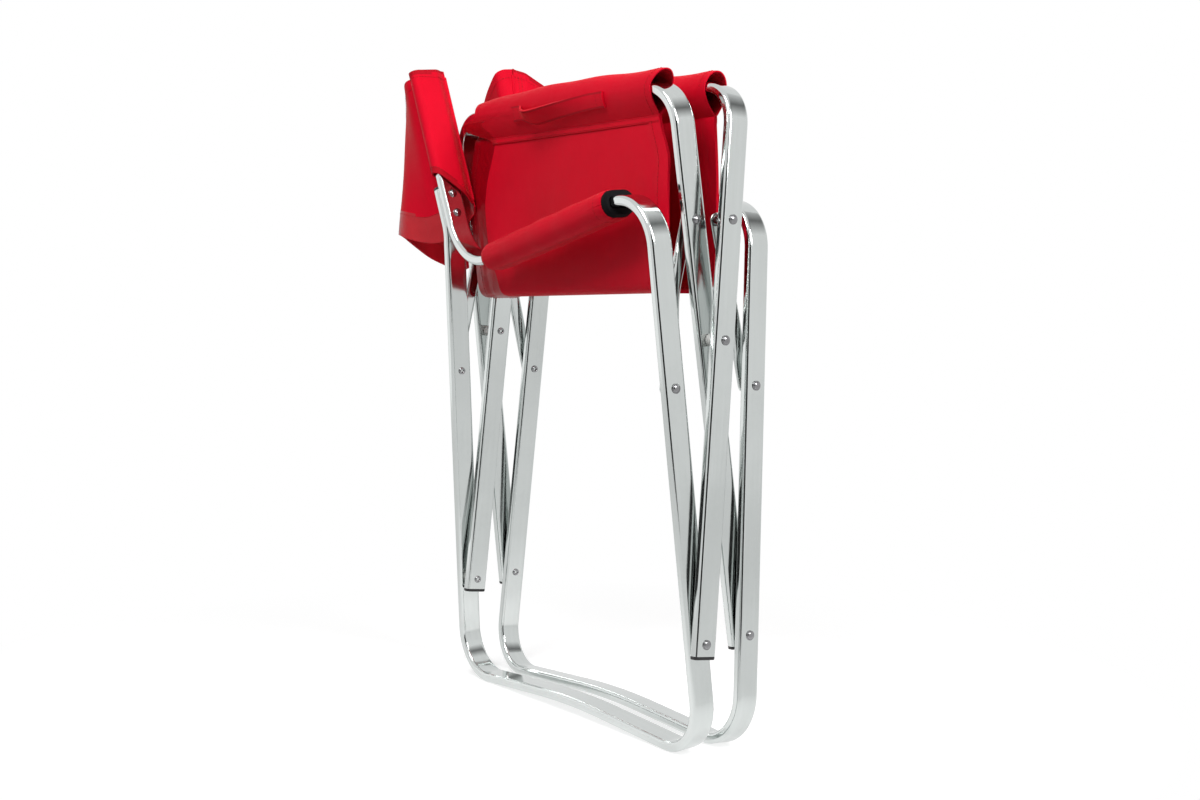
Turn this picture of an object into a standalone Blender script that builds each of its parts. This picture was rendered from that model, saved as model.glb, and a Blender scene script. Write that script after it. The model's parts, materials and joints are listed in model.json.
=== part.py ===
"""Folding directors chair, drawn folded as it stands in the photograph.

Metres, +Z up. X runs across the chair, -X is the sitter's right side.
The front faces -Y. The two side frames stand on the floor at z = 0.
"""

from math import atan, cos, pi, radians, sin, sqrt, tan

import bmesh
import bpy
import numpy as np
from mathutils import Matrix, Vector

# Place of the whole chair in the shared frame
DEPTH_SHIFT = -0.14412
FLOOR_SHIFT = 0.0

# Flat oval tube
TUBE_WIDTH = 0.028
TUBE_THICK = 0.012
TUBE_CORNER = 0.004
TUBE_WALL = 0.0016

# Clearances
GAP = 0.0003
HEAD_GAP = 0.0006
FACE_GAP = 0.0008
WASHER_GAP = 0.00045
HOLE_CLEAR = 0.0003
OPEN_PIVOT_GAP = 0.0008

# Pivots with the chair folded
FOOT_HEIGHT = 0.1313
FOOT_HALF_SPACING = 0.0355
CROSS_HEIGHT = 0.4577
RAIL_HEIGHT = 0.735
UPPER_PIVOT_RISE = 0.1308
LOWER_PIVOT_HEIGHT = 0.4063
SIDE_TILT_DEG = 4.2
OPEN_CROSS_DEG = 57.0

# Side frame outline, in the tilted plane of the frame
SIDE_FRONT_Y = -0.2447
SIDE_REAR_Y = 0.2518
SIDE_FRONT_LEAN = 0.065
SIDE_REAR_LEAN = 0.055
RAIL_END_HEIGHT = 0.00304
RAIL_MID_HEIGHT = 0.01834
RAIL_MID_Y = 0.003
FLOOR_BEND = 0.055
RAIL_ARCH_BEND = 1.2
ARM_MID_Y = -0.127
ARM_MID_HEIGHT = 0.6054
ARM_SLOPE = 0.205
ARM_FRONT_BEND = 0.055
ARM_REAR_BEND = 0.072
POST_Y = 0.229
POST_HEIGHT = 0.635
POST_LEAN_DEG = 18.5
POST_TOP = 0.779
BACK_LEG_TOP = 0.642
BACK_LEG_BEND = 0.060

# Seat frames: the left one carries the left rail and stands on the right legs
LEFT_FRONT_LEG_GAP = 0.0012
LEFT_REAR_LEG_GAP = 0.0087
RIGHT_FRONT_LEG_GAP = 0.0027
RIGHT_REAR_LEG_GAP = 0.0012
SEAT_FRONT_LEAN = 0.050
SEAT_FOOT_DROP = 0.013
SEAT_BEND = 0.046

# Links between the side frames and the seat frames
LINK_WIDTH = 0.016
LINK_THICK = 0.0076
LINK_END_RADIUS = 0.0085
LINK_END_THICK = 0.004
LINK_FLAT = 0.028
LINK_SWELL = 0.016
RIGHT_FRONT_SHOULDER = 0.0042
LEFT_FRONT_SPACER = 0.0073
REAR_SPACER = 0.0037

# Rivets, bushes and plugs
SHANK_RADIUS = 0.003
HEAD_RADIUS = 0.0055
HEAD_HEIGHT = 0.0026
TAIL_RADIUS = 0.0046
TAIL_HEIGHT = 0.0016
TAIL_BORE = 0.0018
TAIL_BORE_DEPTH = 0.0010
BUSH_RADIUS = 0.0068
PLUG_DEPTH = 0.0065
PLUG_HEAD = 0.0030
PLUG_CROWN = 0.0006
PLUG_INSET = 0.0002
POST_RIVET_END = 0.0065
POST_RIVET_PITCH = 0.0250

# Arm pads, measured from the ends of the straight of the arm
FOAM_SIDE = 0.0068
FOAM_TOP = 0.0095
FOAM_CORNER = 0.0135
FOAM_FRONT_INSET = 0.0014
FOAM_REAR_INSET = 0.0066
COVER_THICK = 0.0012
COVER_FRONT_INSET = 0.0065
COVER_REAR_REACH = 0.0030

# Seat cloth
CLOTH = 0.0014
SEAT_LOOP_CLEAR = 0.0005
SEAT_LOOP_TAIL = 0.040
SEAT_LOOP_POWER = 1.8
SEAM_DEPTH = 0.0042
SEAM_LAP = 0.0020
SEAT_HALF_DEPTH = 0.2311
SEAT_FRONT_RISE = 0.006
SEAT_FOLD_ROUND = 0.050
SEAT_HALF_GAP = 0.0008
RIGHT_SLEEVE_FRONT_INSET = 0.0316
RIGHT_SLEEVE_REAR_INSET = 0.0520
LEFT_SLEEVE_FRONT_INSET = 0.0395
LEFT_SLEEVE_REAR_INSET = 0.0431
SEAT_FRONT_CLEAR = 0.0020
SEAT_REAR_CLEAR = 0.0010
SEAT_TAPER = 0.055
SEAT_BILLOW = 0.003
SEAT_WAVE = 0.0012
SEAT_WAVES = 2
HANDLE_START = 0.088
HANDLE_LENGTH = 0.198
HANDLE_DROP = 0.004
HANDLE_WIDTH = 0.018
HANDLE_SEWN = 0.014
HANDLE_RISE = 0.0035
HANDLE_THICK = 0.0016

# Backrest cloth
BACK_SLEEVE_INNER = 0.030
BACK_SLEEVE_OUTER = 0.0185
BACK_SLEEVE_HALF = 0.0086
BACK_SLEEVE_CORNER = 0.0069
BACK_SLEEVE_START = 0.008
BACK_SLEEVE_OVER = 0.010
BACK_HALF_DROP = 0.022
BACK_HALF_TOP_DROP = 0.003
SEAM_GAP = 0.0010
BACK_LENGTH_STEP = 0.004
BACK_RIGHT_FOLD_DEG = 11.6
BACK_LEFT_FOLD_DEG = 1.0
BACK_BULGE = 0.030

RIGHT = -1.0
LEFT = 1.0
TILT = radians(SIDE_TILT_DEG)
LEAN = radians(POST_LEAN_DEG)
OPEN_CROSS = radians(OPEN_CROSS_DEG)
UPPER_PIVOT_HEIGHT = CROSS_HEIGHT + UPPER_PIVOT_RISE
CROSS = atan(FOOT_HALF_SPACING / (CROSS_HEIGHT - FOOT_HEIGHT))
CROSS_TO_FOOT = (CROSS_HEIGHT - FOOT_HEIGHT) / cos(CROSS)
FLOOR_HALF_SPACING = FOOT_HALF_SPACING - FOOT_HEIGHT * tan(TILT)
HALF_TUBE = TUBE_THICK / 2
HALF_LINK_END = LINK_END_THICK / 2
HOLE_RADIUS = (SHANK_RADIUS + HOLE_CLEAR) / cos(pi / 8)
TUBE_REACH = sqrt((TUBE_WIDTH / 2 - TUBE_CORNER) ** 2 + (HALF_TUBE - TUBE_CORNER) ** 2) + TUBE_CORNER
SEAT_LOOP_RADIUS = TUBE_REACH + SEAT_LOOP_CLEAR
LEFT_SEAT_FRONT_Y = SIDE_FRONT_Y - TUBE_THICK - LEFT_FRONT_LEG_GAP
LEFT_SEAT_REAR_Y = SIDE_REAR_Y - TUBE_THICK - LEFT_REAR_LEG_GAP
RIGHT_SEAT_FRONT_Y = SIDE_FRONT_Y + TUBE_THICK + RIGHT_FRONT_LEG_GAP
RIGHT_SEAT_REAR_Y = SIDE_REAR_Y + TUBE_THICK + RIGHT_REAR_LEG_GAP
BACK_HINGE_IN = BACK_SLEEVE_INNER + SEAM_GAP
BACK_SLEEVE_LOW = BACK_LEG_TOP + BACK_SLEEVE_START
BACK_SLEEVE_TOP = POST_TOP + BACK_SLEEVE_OVER
BACK_HALF_LOW = BACK_SLEEVE_LOW - BACK_HALF_DROP
BACK_HALF_TOP = BACK_SLEEVE_TOP - BACK_HALF_TOP_DROP
Y_WAY = np.array((0.0, 1.0, 0.0))
Z_WAY = np.array((0.0, 0.0, 1.0))

FINISHES = {
    "aluminium": ((0.80, 0.82, 0.83), 0.22, 1.0),
    "steel": ((0.70, 0.71, 0.72), 0.30, 1.0),
    "nylon": ((0.86, 0.86, 0.84), 0.50, 0.0),
    "black": ((0.02, 0.02, 0.02), 0.55, 0.0),
    "foam": ((0.015, 0.015, 0.015), 0.90, 0.0),
    "cloth": ((0.72, 0.01, 0.03), 0.80, 0.0),
}


# Scene helpers


def clear_scene():
    """Remove every object and mesh left in the file."""
    for item in list(bpy.data.objects):
        bpy.data.objects.remove(item, do_unlink=True)
    for mesh in list(bpy.data.meshes):
        bpy.data.meshes.remove(mesh)


def make_material(name, colour, roughness, metallic):
    """Return a plain Principled material."""
    material = bpy.data.materials.new(name)
    material.use_nodes = True
    shader = material.node_tree.nodes["Principled BSDF"]
    shader.inputs["Base Color"].default_value = (*colour, 1.0)
    shader.inputs["Roughness"].default_value = roughness
    shader.inputs["Metallic"].default_value = metallic
    material.diffuse_color = (*colour, 1.0)
    return material


def shifted(point):
    """Return a chair point in the shared frame."""
    return Vector((point[0], point[1] + DEPTH_SHIFT, point[2] + FLOOR_SHIFT))


def make_object(name, body, finish):
    """Turn a bmesh into a named object with its own material."""
    bmesh.ops.recalc_face_normals(body, faces=body.faces)
    mesh = bpy.data.meshes.new(name)
    body.to_mesh(mesh)
    body.free()
    mesh.shade_smooth()
    mesh.set_sharp_from_angle(angle=radians(38.0))
    mesh.materials.append(make_material(name + "_finish", *FINISHES[finish]))
    item = bpy.data.objects.new(name, mesh)
    bpy.context.collection.objects.link(item)
    return item


def make_helper(item):
    """Keep an object out of the render, as a cutter or a joining piece."""
    item.hide_render = True
    item.display_type = "WIRE"


def combine(item, other, operation):
    """Cut another body from an object, or join it on."""
    make_helper(other)
    change = item.modifiers.new(other.name, "BOOLEAN")
    change.operation = operation
    change.solver = "EXACT"
    change.object = other


def hang_on(items, name, point, axis):
    """Parent items to an empty that stands on their joint axis."""
    pivot = bpy.data.objects.new(name, None)
    turn = Vector((0.0, 0.0, 1.0)).rotation_difference(Vector(axis)).to_matrix().to_4x4()
    stand = Matrix.Translation(shifted(point)) @ turn
    pivot.matrix_world = stand
    pivot.empty_display_size = 0.03
    bpy.context.collection.objects.link(pivot)
    for item in items:
        item.parent = pivot
        item.matrix_parent_inverse = stand.inverted()


# Solid helpers


def turned(name, point, axis, profile, finish, sides=10):
    """Spin a profile of (distance along, radius) about an axis through a point.

    A profile that starts and ends at a bore radius is closed as a ring.
    """
    body = bmesh.new()
    rows = [body.verts.new((radius, 0.0, along)) for along, radius in profile]
    edges = [body.edges.new(pair) for pair in zip(rows, rows[1:])]
    bmesh.ops.spin(
        body, geom=rows + edges, cent=(0, 0, 0), axis=(0, 0, 1), angle=2 * pi, steps=sides, use_merge=True
    )
    bmesh.ops.remove_doubles(body, verts=body.verts, dist=1e-6)
    bmesh.ops.holes_fill(body, edges=[edge for edge in body.edges if edge.is_boundary], sides=sides)
    item = make_object(name, body, finish)
    turn = Vector((0.0, 0.0, 1.0)).rotation_difference(Vector(axis)).to_matrix().to_4x4()
    item.matrix_world = Matrix.Translation(shifted(point)) @ turn
    return item


def ring(name, point, axis, near, far, lean=0.0):
    """Make a nylon bush from near to far along an axis, bored for a shank that leans in it."""
    bore = SHANK_RADIUS + GAP + (far - near) * abs(lean)
    profile = [(near, bore), (near, BUSH_RADIUS), (far, BUSH_RADIUS), (far, bore), (near, bore)]
    return turned(name, point, axis, profile, "nylon", 12)


def head_profile(face, way):
    """Return the domed head that sits outside a face, ending on the shank."""
    start = face - way * HEAD_GAP
    return [
        (start - way * HEAD_HEIGHT, HEAD_RADIUS * 0.33),
        (start - way * HEAD_HEIGHT * 0.72, HEAD_RADIUS * 0.71),
        (start - way * HEAD_HEIGHT * 0.30, HEAD_RADIUS * 0.95),
        (start, HEAD_RADIUS),
        (start, SHANK_RADIUS),
    ]


def tail_profile(face, way):
    """Return the rolled end that sits outside a face, starting on the shank."""
    end = face + way * HEAD_GAP
    return [
        (end, SHANK_RADIUS),
        (end, TAIL_RADIUS),
        (end + way * TAIL_HEIGHT * 0.6, TAIL_RADIUS * 0.96),
        (end + way * TAIL_HEIGHT, TAIL_RADIUS * 0.72),
        (end + way * TAIL_HEIGHT * 0.9, TAIL_BORE),
        (end - way * TAIL_BORE_DEPTH, TAIL_BORE * 0.8),
    ]


def rivet(name, point, axis, head, tail):
    """Make a rivet with its head outside one face and its rolled end outside the other."""
    way = 1.0 if tail > head else -1.0
    return turned(name, point, axis, head_profile(head, way) + tail_profile(tail, way), "steel")


def drill(item, holes):
    """Cut round rivet holes, each given as (point, axis, half length)."""
    for index, (point, axis, half) in enumerate(holes):
        name = f"{item.name}_drill_{index}"
        cutter = turned(name, point, axis, [(-half, HOLE_RADIUS), (half, HOLE_RADIUS)], "steel", 8)
        combine(item, cutter, "DIFFERENCE")


def rounded_rect(width, thick, corner, steps):
    """Return a closed rounded rectangle as rows of (across, through)."""
    rows = []
    for turn, (sx, sy) in enumerate(((1, 1), (-1, 1), (-1, -1), (1, -1))):
        centre = (sx * (width / 2 - corner), sy * (thick / 2 - corner))
        for step in range(steps + 1):
            angle = pi / 2 * (turn + step / steps)
            rows.append((centre[0] + corner * cos(angle), centre[1] + corner * sin(angle)))
    return rows


def add_ring(body, points):
    """Add one ring of points to a body."""
    return [body.verts.new(shifted(point)) for point in points]


def add_skin(body, rings):
    """Join a row of equal rings with quads."""
    for one, two in zip(rings, rings[1:]):
        for col in range(len(one)):
            ahead = (col + 1) % len(one)
            body.faces.new((one[col], one[ahead], two[ahead], two[col]))


def solid_sweep(name, rings, finish):
    """Make a solid from a row of rings with flat ends."""
    body = bmesh.new()
    rows = [add_ring(body, points) for points in rings]
    add_skin(body, rows)
    body.faces.new(rows[0])
    body.faces.new(rows[-1])
    return make_object(name, body, finish)


def hollow_sweep(name, outer, inner, finish):
    """Make an open-ended pipe from outer and inner rows of equal rings."""
    body = bmesh.new()
    rows_out = [add_ring(body, points) for points in outer]
    rows_in = [add_ring(body, points) for points in inner]
    add_skin(body, rows_out)
    add_skin(body, rows_in)
    for end in (0, -1):
        add_skin(body, [rows_out[end], rows_in[end]])
    return make_object(name, body, finish)


def plate(name, grid, normals, thick, finish):
    """Make a closed sheet of even thickness on a grid of points."""
    body = bmesh.new()
    rows, cols = grid.shape[:2]
    top = [add_ring(body, line) for line in grid + normals * thick / 2]
    low = [add_ring(body, line) for line in grid - normals * thick / 2]
    for r in range(rows - 1):
        for c in range(cols - 1):
            body.faces.new((top[r][c], top[r][c + 1], top[r + 1][c + 1], top[r + 1][c]))
            body.faces.new((low[r][c], low[r + 1][c], low[r + 1][c + 1], low[r][c + 1]))
    rim = [(0, c) for c in range(cols)]
    rim += [(r, cols - 1) for r in range(1, rows)]
    rim += [(rows - 1, c) for c in range(cols - 2, -1, -1)]
    rim += [(r, 0) for r in range(rows - 2, 0, -1)]
    for (r, c), (r2, c2) in zip(rim, rim[1:] + rim[:1]):
        body.faces.new((top[r][c], low[r][c], low[r2][c2], top[r2][c2]))
    return make_object(name, body, finish)


# Paths in the planes of the bent frames


class Plane:
    """A flat working plane: u runs along Y, v runs up in the plane."""

    def __init__(self, origin, up, across):
        self.origin = np.array(origin, dtype=float)
        self.up = np.array(up, dtype=float)
        self.across = np.array(across, dtype=float)

    def point(self, u, v, b=0.0):
        """Return the chair point of plane coordinates."""
        return self.origin + Y_WAY * u + self.up * v + self.across * b


def side_plane(side):
    """Return the tilted plane of one side frame, across pointing inward."""
    return Plane(
        (side * FLOOR_HALF_SPACING, 0.0, 0.0),
        (side * sin(TILT), 0.0, cos(TILT)),
        (-side * cos(TILT), 0.0, sin(TILT)),
    )


def seat_plane(side):
    """Return the plane of the seat frame whose rail is on the given side."""
    return Plane(
        (-side * FOOT_HALF_SPACING, 0.0, FOOT_HEIGHT),
        (side * sin(CROSS), 0.0, cos(CROSS)),
        (side * cos(CROSS), 0.0, -sin(CROSS)),
    )


def unit(vector):
    """Return a vector at length one."""
    return vector / np.linalg.norm(vector)


def bend_reach(before, corner, after, bend):
    """Return the length that a bend takes from each leg of a corner."""
    back = unit(np.subtract(before, corner))
    ahead = unit(np.subtract(after, corner))
    return bend / tan(np.arccos(np.dot(back, ahead)) / 2)


def rounded_path(corners, bends, steps):
    """Return rows of (u, v, tu, tv) along a polyline with rounded corners."""
    corners = [np.array(corner, dtype=float) for corner in corners]
    rows = [(*corners[0], *unit(corners[1] - corners[0]))]
    for before, corner, after, bend, count in zip(corners, corners[1:], corners[2:], bends, steps):
        back = unit(before - corner)
        ahead = unit(after - corner)
        half = np.arccos(np.dot(back, ahead)) / 2
        start = corner + back * bend_reach(before, corner, after, bend)
        centre = corner + unit(back + ahead) * bend / sin(half)
        arm = start - centre
        turn = 1.0 if back[1] * ahead[0] - back[0] * ahead[1] > 0 else -1.0
        for step in range(count + 1):
            angle = turn * (pi - 2 * half) * step / count
            spin = np.array(((cos(angle), -sin(angle)), (sin(angle), cos(angle))))
            rows.append((*(centre + spin @ arm), *(spin @ -back)))
    rows.append((*corners[-1], *unit(corners[-1] - corners[-2])))
    return rows


def sweep_rings(plane, path, section):
    """Return the ring points of a section carried along a path in a plane."""
    return [[plane.point(u - tv * n, v + tu * n, b) for b, n in section] for u, v, tu, tv in path]


def tube(name, plane, path):
    """Make a hollow flat oval tube along a path."""
    outer = rounded_rect(TUBE_WIDTH, TUBE_THICK, TUBE_CORNER, 2)
    bore_width = TUBE_WIDTH - 2 * TUBE_WALL
    bore_thick = TUBE_THICK - 2 * TUBE_WALL
    inner = rounded_rect(bore_width, bore_thick, TUBE_CORNER - TUBE_WALL, 2)
    return hollow_sweep(
        name, sweep_rings(plane, path, outer), sweep_rings(plane, path, inner), "aluminium"
    )


# Pivot points


def side_leg_y(front, height):
    """Return the middle of a side frame leg at a height."""
    rise = (height - FOOT_HEIGHT) / cos(TILT)
    if front:
        return SIDE_FRONT_Y + SIDE_FRONT_LEAN * rise
    return SIDE_REAR_Y - SIDE_REAR_LEAN * rise


def seat_leg_y(side, front, height):
    """Return the middle of a seat frame leg at a height."""
    rise = (height - FOOT_HEIGHT) / cos(CROSS)
    if front:
        base = LEFT_SEAT_FRONT_Y if side == LEFT else RIGHT_SEAT_FRONT_Y
        return base + SEAT_FRONT_LEAN * rise
    return LEFT_SEAT_REAR_Y if side == LEFT else RIGHT_SEAT_REAR_Y


def foot_point(side, y=0.0):
    """Return the foot pivot on the legs of one side."""
    return np.array((side * FOOT_HALF_SPACING, y, FOOT_HEIGHT))


def cross_point(y=0.0):
    """Return the crossing pivot of the two seat frames."""
    return np.array((0.0, y, CROSS_HEIGHT))


def lower_point(side, y=0.0):
    """Return the link pivot on a side frame."""
    half = FLOOR_HALF_SPACING + LOWER_PIVOT_HEIGHT * tan(TILT)
    return np.array((side * half, y, LOWER_PIVOT_HEIGHT))


def upper_point(side, y=0.0):
    """Return the link pivot on a seat frame."""
    half = (UPPER_PIVOT_HEIGHT - CROSS_HEIGHT) * tan(CROSS)
    return np.array((side * half, y, UPPER_PIVOT_HEIGHT))


def rail_point(side, y=0.0):
    """Return a point on the axis of a seat rail."""
    half = (RAIL_HEIGHT - CROSS_HEIGHT) * tan(CROSS)
    return np.array((side * half, y, RAIL_HEIGHT))


def link_y(side, front):
    """Return the middle plane of a link, set by its spacer."""
    if not front:
        return side_leg_y(False, LOWER_PIVOT_HEIGHT) + HALF_TUBE + REAR_SPACER + HALF_LINK_END
    if side == RIGHT:
        leg = seat_leg_y(RIGHT, True, UPPER_PIVOT_HEIGHT)
        return leg + HALF_TUBE + RIGHT_FRONT_SHOULDER + HALF_LINK_END
    return side_leg_y(True, LOWER_PIVOT_HEIGHT) + HALF_TUBE + LEFT_FRONT_SPACER + HALF_LINK_END


# Side frames


def post_line(height, offset=0.0):
    """Return y of the back post at a height in the frame plane."""
    return POST_Y + tan(LEAN) * (height - POST_HEIGHT) + offset / cos(LEAN)


def arm_line(y):
    """Return the height of the arm in the frame plane."""
    return ARM_MID_HEIGHT - ARM_SLOPE * (y - ARM_MID_Y)


def side_corners():
    """Return the corners of a side frame, from the back leg top to the post top."""
    foot = FOOT_HEIGHT / cos(TILT)
    step = TUBE_THICK + GAP
    top = (post_line(BACK_LEG_TOP, step), BACK_LEG_TOP)
    knee_v = (SIDE_REAR_Y + SIDE_REAR_LEAN * foot - post_line(0.0, step)) / (tan(LEAN) + SIDE_REAR_LEAN)
    knee = (post_line(knee_v, step), knee_v)
    rear = (SIDE_REAR_Y + SIDE_REAR_LEAN * (foot - RAIL_END_HEIGHT), RAIL_END_HEIGHT)
    middle = (RAIL_MID_Y, RAIL_MID_HEIGHT)
    front = (SIDE_FRONT_Y - SIDE_FRONT_LEAN * (foot - RAIL_END_HEIGHT), RAIL_END_HEIGHT)
    arm_front_y = (SIDE_FRONT_Y + SIDE_FRONT_LEAN * (arm_line(0.0) - foot)) / (1 + SIDE_FRONT_LEAN * ARM_SLOPE)
    arm_front = (arm_front_y, arm_line(arm_front_y))
    arm_rear_y = post_line(arm_line(0.0)) / (1 + tan(LEAN) * ARM_SLOPE)
    arm_rear = (arm_rear_y, arm_line(arm_rear_y))
    end = (post_line(POST_TOP), POST_TOP)
    return [top, knee, rear, middle, front, arm_front, arm_rear, end]


def side_path():
    """Return the path of a side frame tube."""
    bends = [BACK_LEG_BEND, FLOOR_BEND, RAIL_ARCH_BEND, FLOOR_BEND, ARM_FRONT_BEND, ARM_REAR_BEND]
    return rounded_path(side_corners(), bends, [2, 6, 4, 6, 7, 7])


def post_frame(side):
    """Return the axis, inward and rearward directions of a back post."""
    plane = side_plane(side)
    axis = Y_WAY * sin(LEAN) + plane.up * cos(LEAN)
    rear = Y_WAY * cos(LEAN) - plane.up * sin(LEAN)
    return axis, plane.across, rear


def post_rivet_points(side):
    """Return the places of the two post rivets on the post axis, high then low."""
    plane = side_plane(side)
    high = BACK_LEG_TOP - POST_RIVET_END
    return [plane.point(post_line(height), height) for height in (high, high - POST_RIVET_PITCH)]


def build_side_frame(side, name):
    """Make one side frame tube with its rivet holes."""
    item = tube(name + "_side_frame", side_plane(side), side_path())
    holes = []
    for front in (True, False):
        holes.append((foot_point(side, side_leg_y(front, FOOT_HEIGHT)), Y_WAY, TUBE_THICK))
        holes.append((lower_point(side, side_leg_y(front, LOWER_PIVOT_HEIGHT)), Y_WAY, TUBE_THICK))
    rear = post_frame(side)[2]
    middle = (TUBE_THICK + GAP) / 2
    for spot in post_rivet_points(side):
        holes.append((spot + rear * middle, rear, 1.5 * TUBE_THICK))
    drill(item, holes)
    return item


def build_plug(name, end, out, across, thin):
    """Make an end plug: end is the middle of the tube end, out points away."""
    shrink = 2 * (TUBE_WALL + GAP)
    stem = rounded_rect(TUBE_WIDTH - shrink, TUBE_THICK - shrink, TUBE_CORNER - TUBE_WALL - GAP, 2)
    trim = 2 * PLUG_INSET
    cap = rounded_rect(TUBE_WIDTH - trim, TUBE_THICK - trim, TUBE_CORNER - PLUG_INSET, 2)
    crown = rounded_rect(TUBE_WIDTH - 4 * PLUG_CROWN, TUBE_THICK - 4 * PLUG_CROWN, TUBE_CORNER - 2 * PLUG_CROWN, 2)
    stations = [
        (-PLUG_DEPTH, stem),
        (GAP, stem),
        (GAP, cap),
        (PLUG_HEAD, cap),
        (PLUG_HEAD + PLUG_CROWN, crown),
    ]
    rings = [[end + out * along + across * b + thin * n for b, n in section] for along, section in stations]
    return solid_sweep(name, rings, "black")


def build_side_plugs(side, name):
    """Make the plugs in the two open ends of a side frame tube."""
    plane = side_plane(side)
    axis, inward, rear = post_frame(side)
    low = plane.point(post_line(BACK_LEG_TOP, TUBE_THICK + GAP), BACK_LEG_TOP)
    high = plane.point(post_line(POST_TOP), POST_TOP)
    return [
        build_plug(name + "_leg_plug", low, axis, inward, rear),
        build_plug(name + "_post_plug", high, axis, inward, rear),
    ]


def arm_span():
    """Return the y values where the straight of the arm starts and ends."""
    corners = side_corners()
    level = 1 / sqrt(1 + ARM_SLOPE**2)
    start = corners[5][0] + level * bend_reach(*corners[4:7], ARM_FRONT_BEND)
    end = corners[6][0] - level * bend_reach(*corners[5:8], ARM_REAR_BEND)
    return start, end


def arm_sleeve(name, side, start, end, outer, inner, finish):
    """Make a sleeve of a given section along the arm."""
    way = unit(np.array((1.0, -ARM_SLOPE)))
    path = [(y, arm_line(y), *way) for y in (start, end)]
    plane = side_plane(side)
    return hollow_sweep(name, sweep_rings(plane, path, outer), sweep_rings(plane, path, inner), finish)


def build_arm_pad(side, name):
    """Make the foam on the arm and the cloth cover round it."""
    start, end = arm_span()
    start = start + FOAM_FRONT_INSET
    end = end - FOAM_REAR_INSET
    wide = TUBE_WIDTH + 2 * FOAM_SIDE
    tall = TUBE_THICK + 2 * FOAM_TOP
    foam_in = rounded_rect(TUBE_WIDTH + 2 * GAP, TUBE_THICK + 2 * GAP, TUBE_CORNER + GAP, 4)
    foam_out = rounded_rect(wide, tall, FOAM_CORNER, 4)
    cover_in = rounded_rect(wide + 2 * GAP, tall + 2 * GAP, FOAM_CORNER + GAP, 4)
    grown = 2 * (GAP + COVER_THICK)
    cover_out = rounded_rect(wide + grown, tall + grown, FOAM_CORNER + grown / 2, 4)
    cover_start = start + COVER_FRONT_INSET
    cover_end = end + COVER_REAR_REACH
    return [
        arm_sleeve(name + "_arm_foam", side, start, end, foam_out, foam_in, "foam"),
        arm_sleeve(name + "_arm_cover", side, cover_start, cover_end, cover_out, cover_in, "cloth"),
    ]


# Seat frames


def rail_corners(side):
    """Return the four corners of a seat frame in its plane."""
    rail = (RAIL_HEIGHT - FOOT_HEIGHT) / cos(CROSS)
    front = seat_leg_y(side, True, FOOT_HEIGHT)
    rear = seat_leg_y(side, False, FOOT_HEIGHT)
    return [
        (front - SEAT_FRONT_LEAN * SEAT_FOOT_DROP, -SEAT_FOOT_DROP),
        (front + SEAT_FRONT_LEAN * rail, rail),
        (rear, rail),
        (rear, -SEAT_FOOT_DROP),
    ]


def build_seat_frame(side, name):
    """Make one U-shaped seat frame with its rivet holes."""
    path = rounded_path(rail_corners(side), [SEAT_BEND, SEAT_BEND], [7, 7])
    item = tube(name + "_seat_frame", seat_plane(side), path)
    holes = []
    for front in (True, False):
        for place, pivot_side in ((foot_point, -side), (upper_point, side)):
            height = place(pivot_side)[2]
            holes.append((place(pivot_side, seat_leg_y(side, front, height)), Y_WAY, TUBE_THICK))
        holes.append((cross_point(seat_leg_y(side, front, CROSS_HEIGHT)), Y_WAY, TUBE_THICK))
    drill(item, holes)
    return item


def build_seat_plugs(side, name):
    """Make the plugs in the two feet of a seat frame."""
    plane = seat_plane(side)
    corners = rail_corners(side)
    items = []
    for place, end, above in (("front", corners[0], corners[1]), ("rear", corners[3], corners[2])):
        du, dv = unit(np.subtract(end, above))
        out = Y_WAY * du + plane.up * dv
        thin = Y_WAY * dv - plane.up * du
        items.append(build_plug(f"{name}_{place}_foot_plug", plane.point(*end), out, plane.across, thin))
    return items


# Rivets and bushes


def build_foot_rivets(side, name):
    """Make the foot rivets of one side frame and the washers under the seat legs."""
    items = []
    for place, front, out in (("front", True, -1.0), ("rear", False, 1.0)):
        own = side_leg_y(front, FOOT_HEIGHT)
        other = seat_leg_y(-side, front, FOOT_HEIGHT)
        low = min(own, other) - HALF_TUBE
        high = max(own, other) + HALF_TUBE
        head, tail = (low, high) if out < 0 else (high, low)
        items.append(rivet(f"{name}_{place}_foot_rivet", foot_point(side), Y_WAY, head, tail))
        way = 1.0 if other > own else -1.0
        lean = SIDE_FRONT_LEAN if front else -SIDE_REAR_LEAN
        plane = side_plane(side)
        normal = unit(Y_WAY - plane.up * lean) * way
        thick = abs(other - own) - TUBE_THICK - GAP - WASHER_GAP
        base = foot_point(side, own + way * HALF_TUBE * sqrt(1 + lean**2))
        items.append(ring(f"{name}_{place}_foot_washer", base, normal, GAP, GAP + thick, lean))
    return items


def build_lower_rivets(side, name):
    """Make the link rivets and spacers carried by one side frame."""
    base = lower_point(side)
    items = []
    for place, front in (("front", True), ("rear", False)):
        leg = side_leg_y(front, LOWER_PIVOT_HEIGHT)
        link = link_y(side, front)
        low = leg - HALF_TUBE
        high = link + HALF_LINK_END
        head, tail = (low, high) if front else (high, low)
        items.append(rivet(f"{name}_{place}_link_rivet", base, Y_WAY, head, tail))
        near = leg + HALF_TUBE + FACE_GAP
        far = link - HALF_LINK_END - GAP
        items.append(ring(f"{name}_{place}_link_spacer", base, Y_WAY, near, far))
    return items


def build_post_rivets(side, name):
    """Make the two rivets that join the back leg to the back post."""
    rear = post_frame(side)[2]
    items = []
    for place, spot in zip(("upper", "lower"), post_rivet_points(side)):
        end = 3 * HALF_TUBE + GAP
        items.append(rivet(f"{name}_{place}_post_rivet", spot, rear, -HALF_TUBE, end))
    return items


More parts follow.
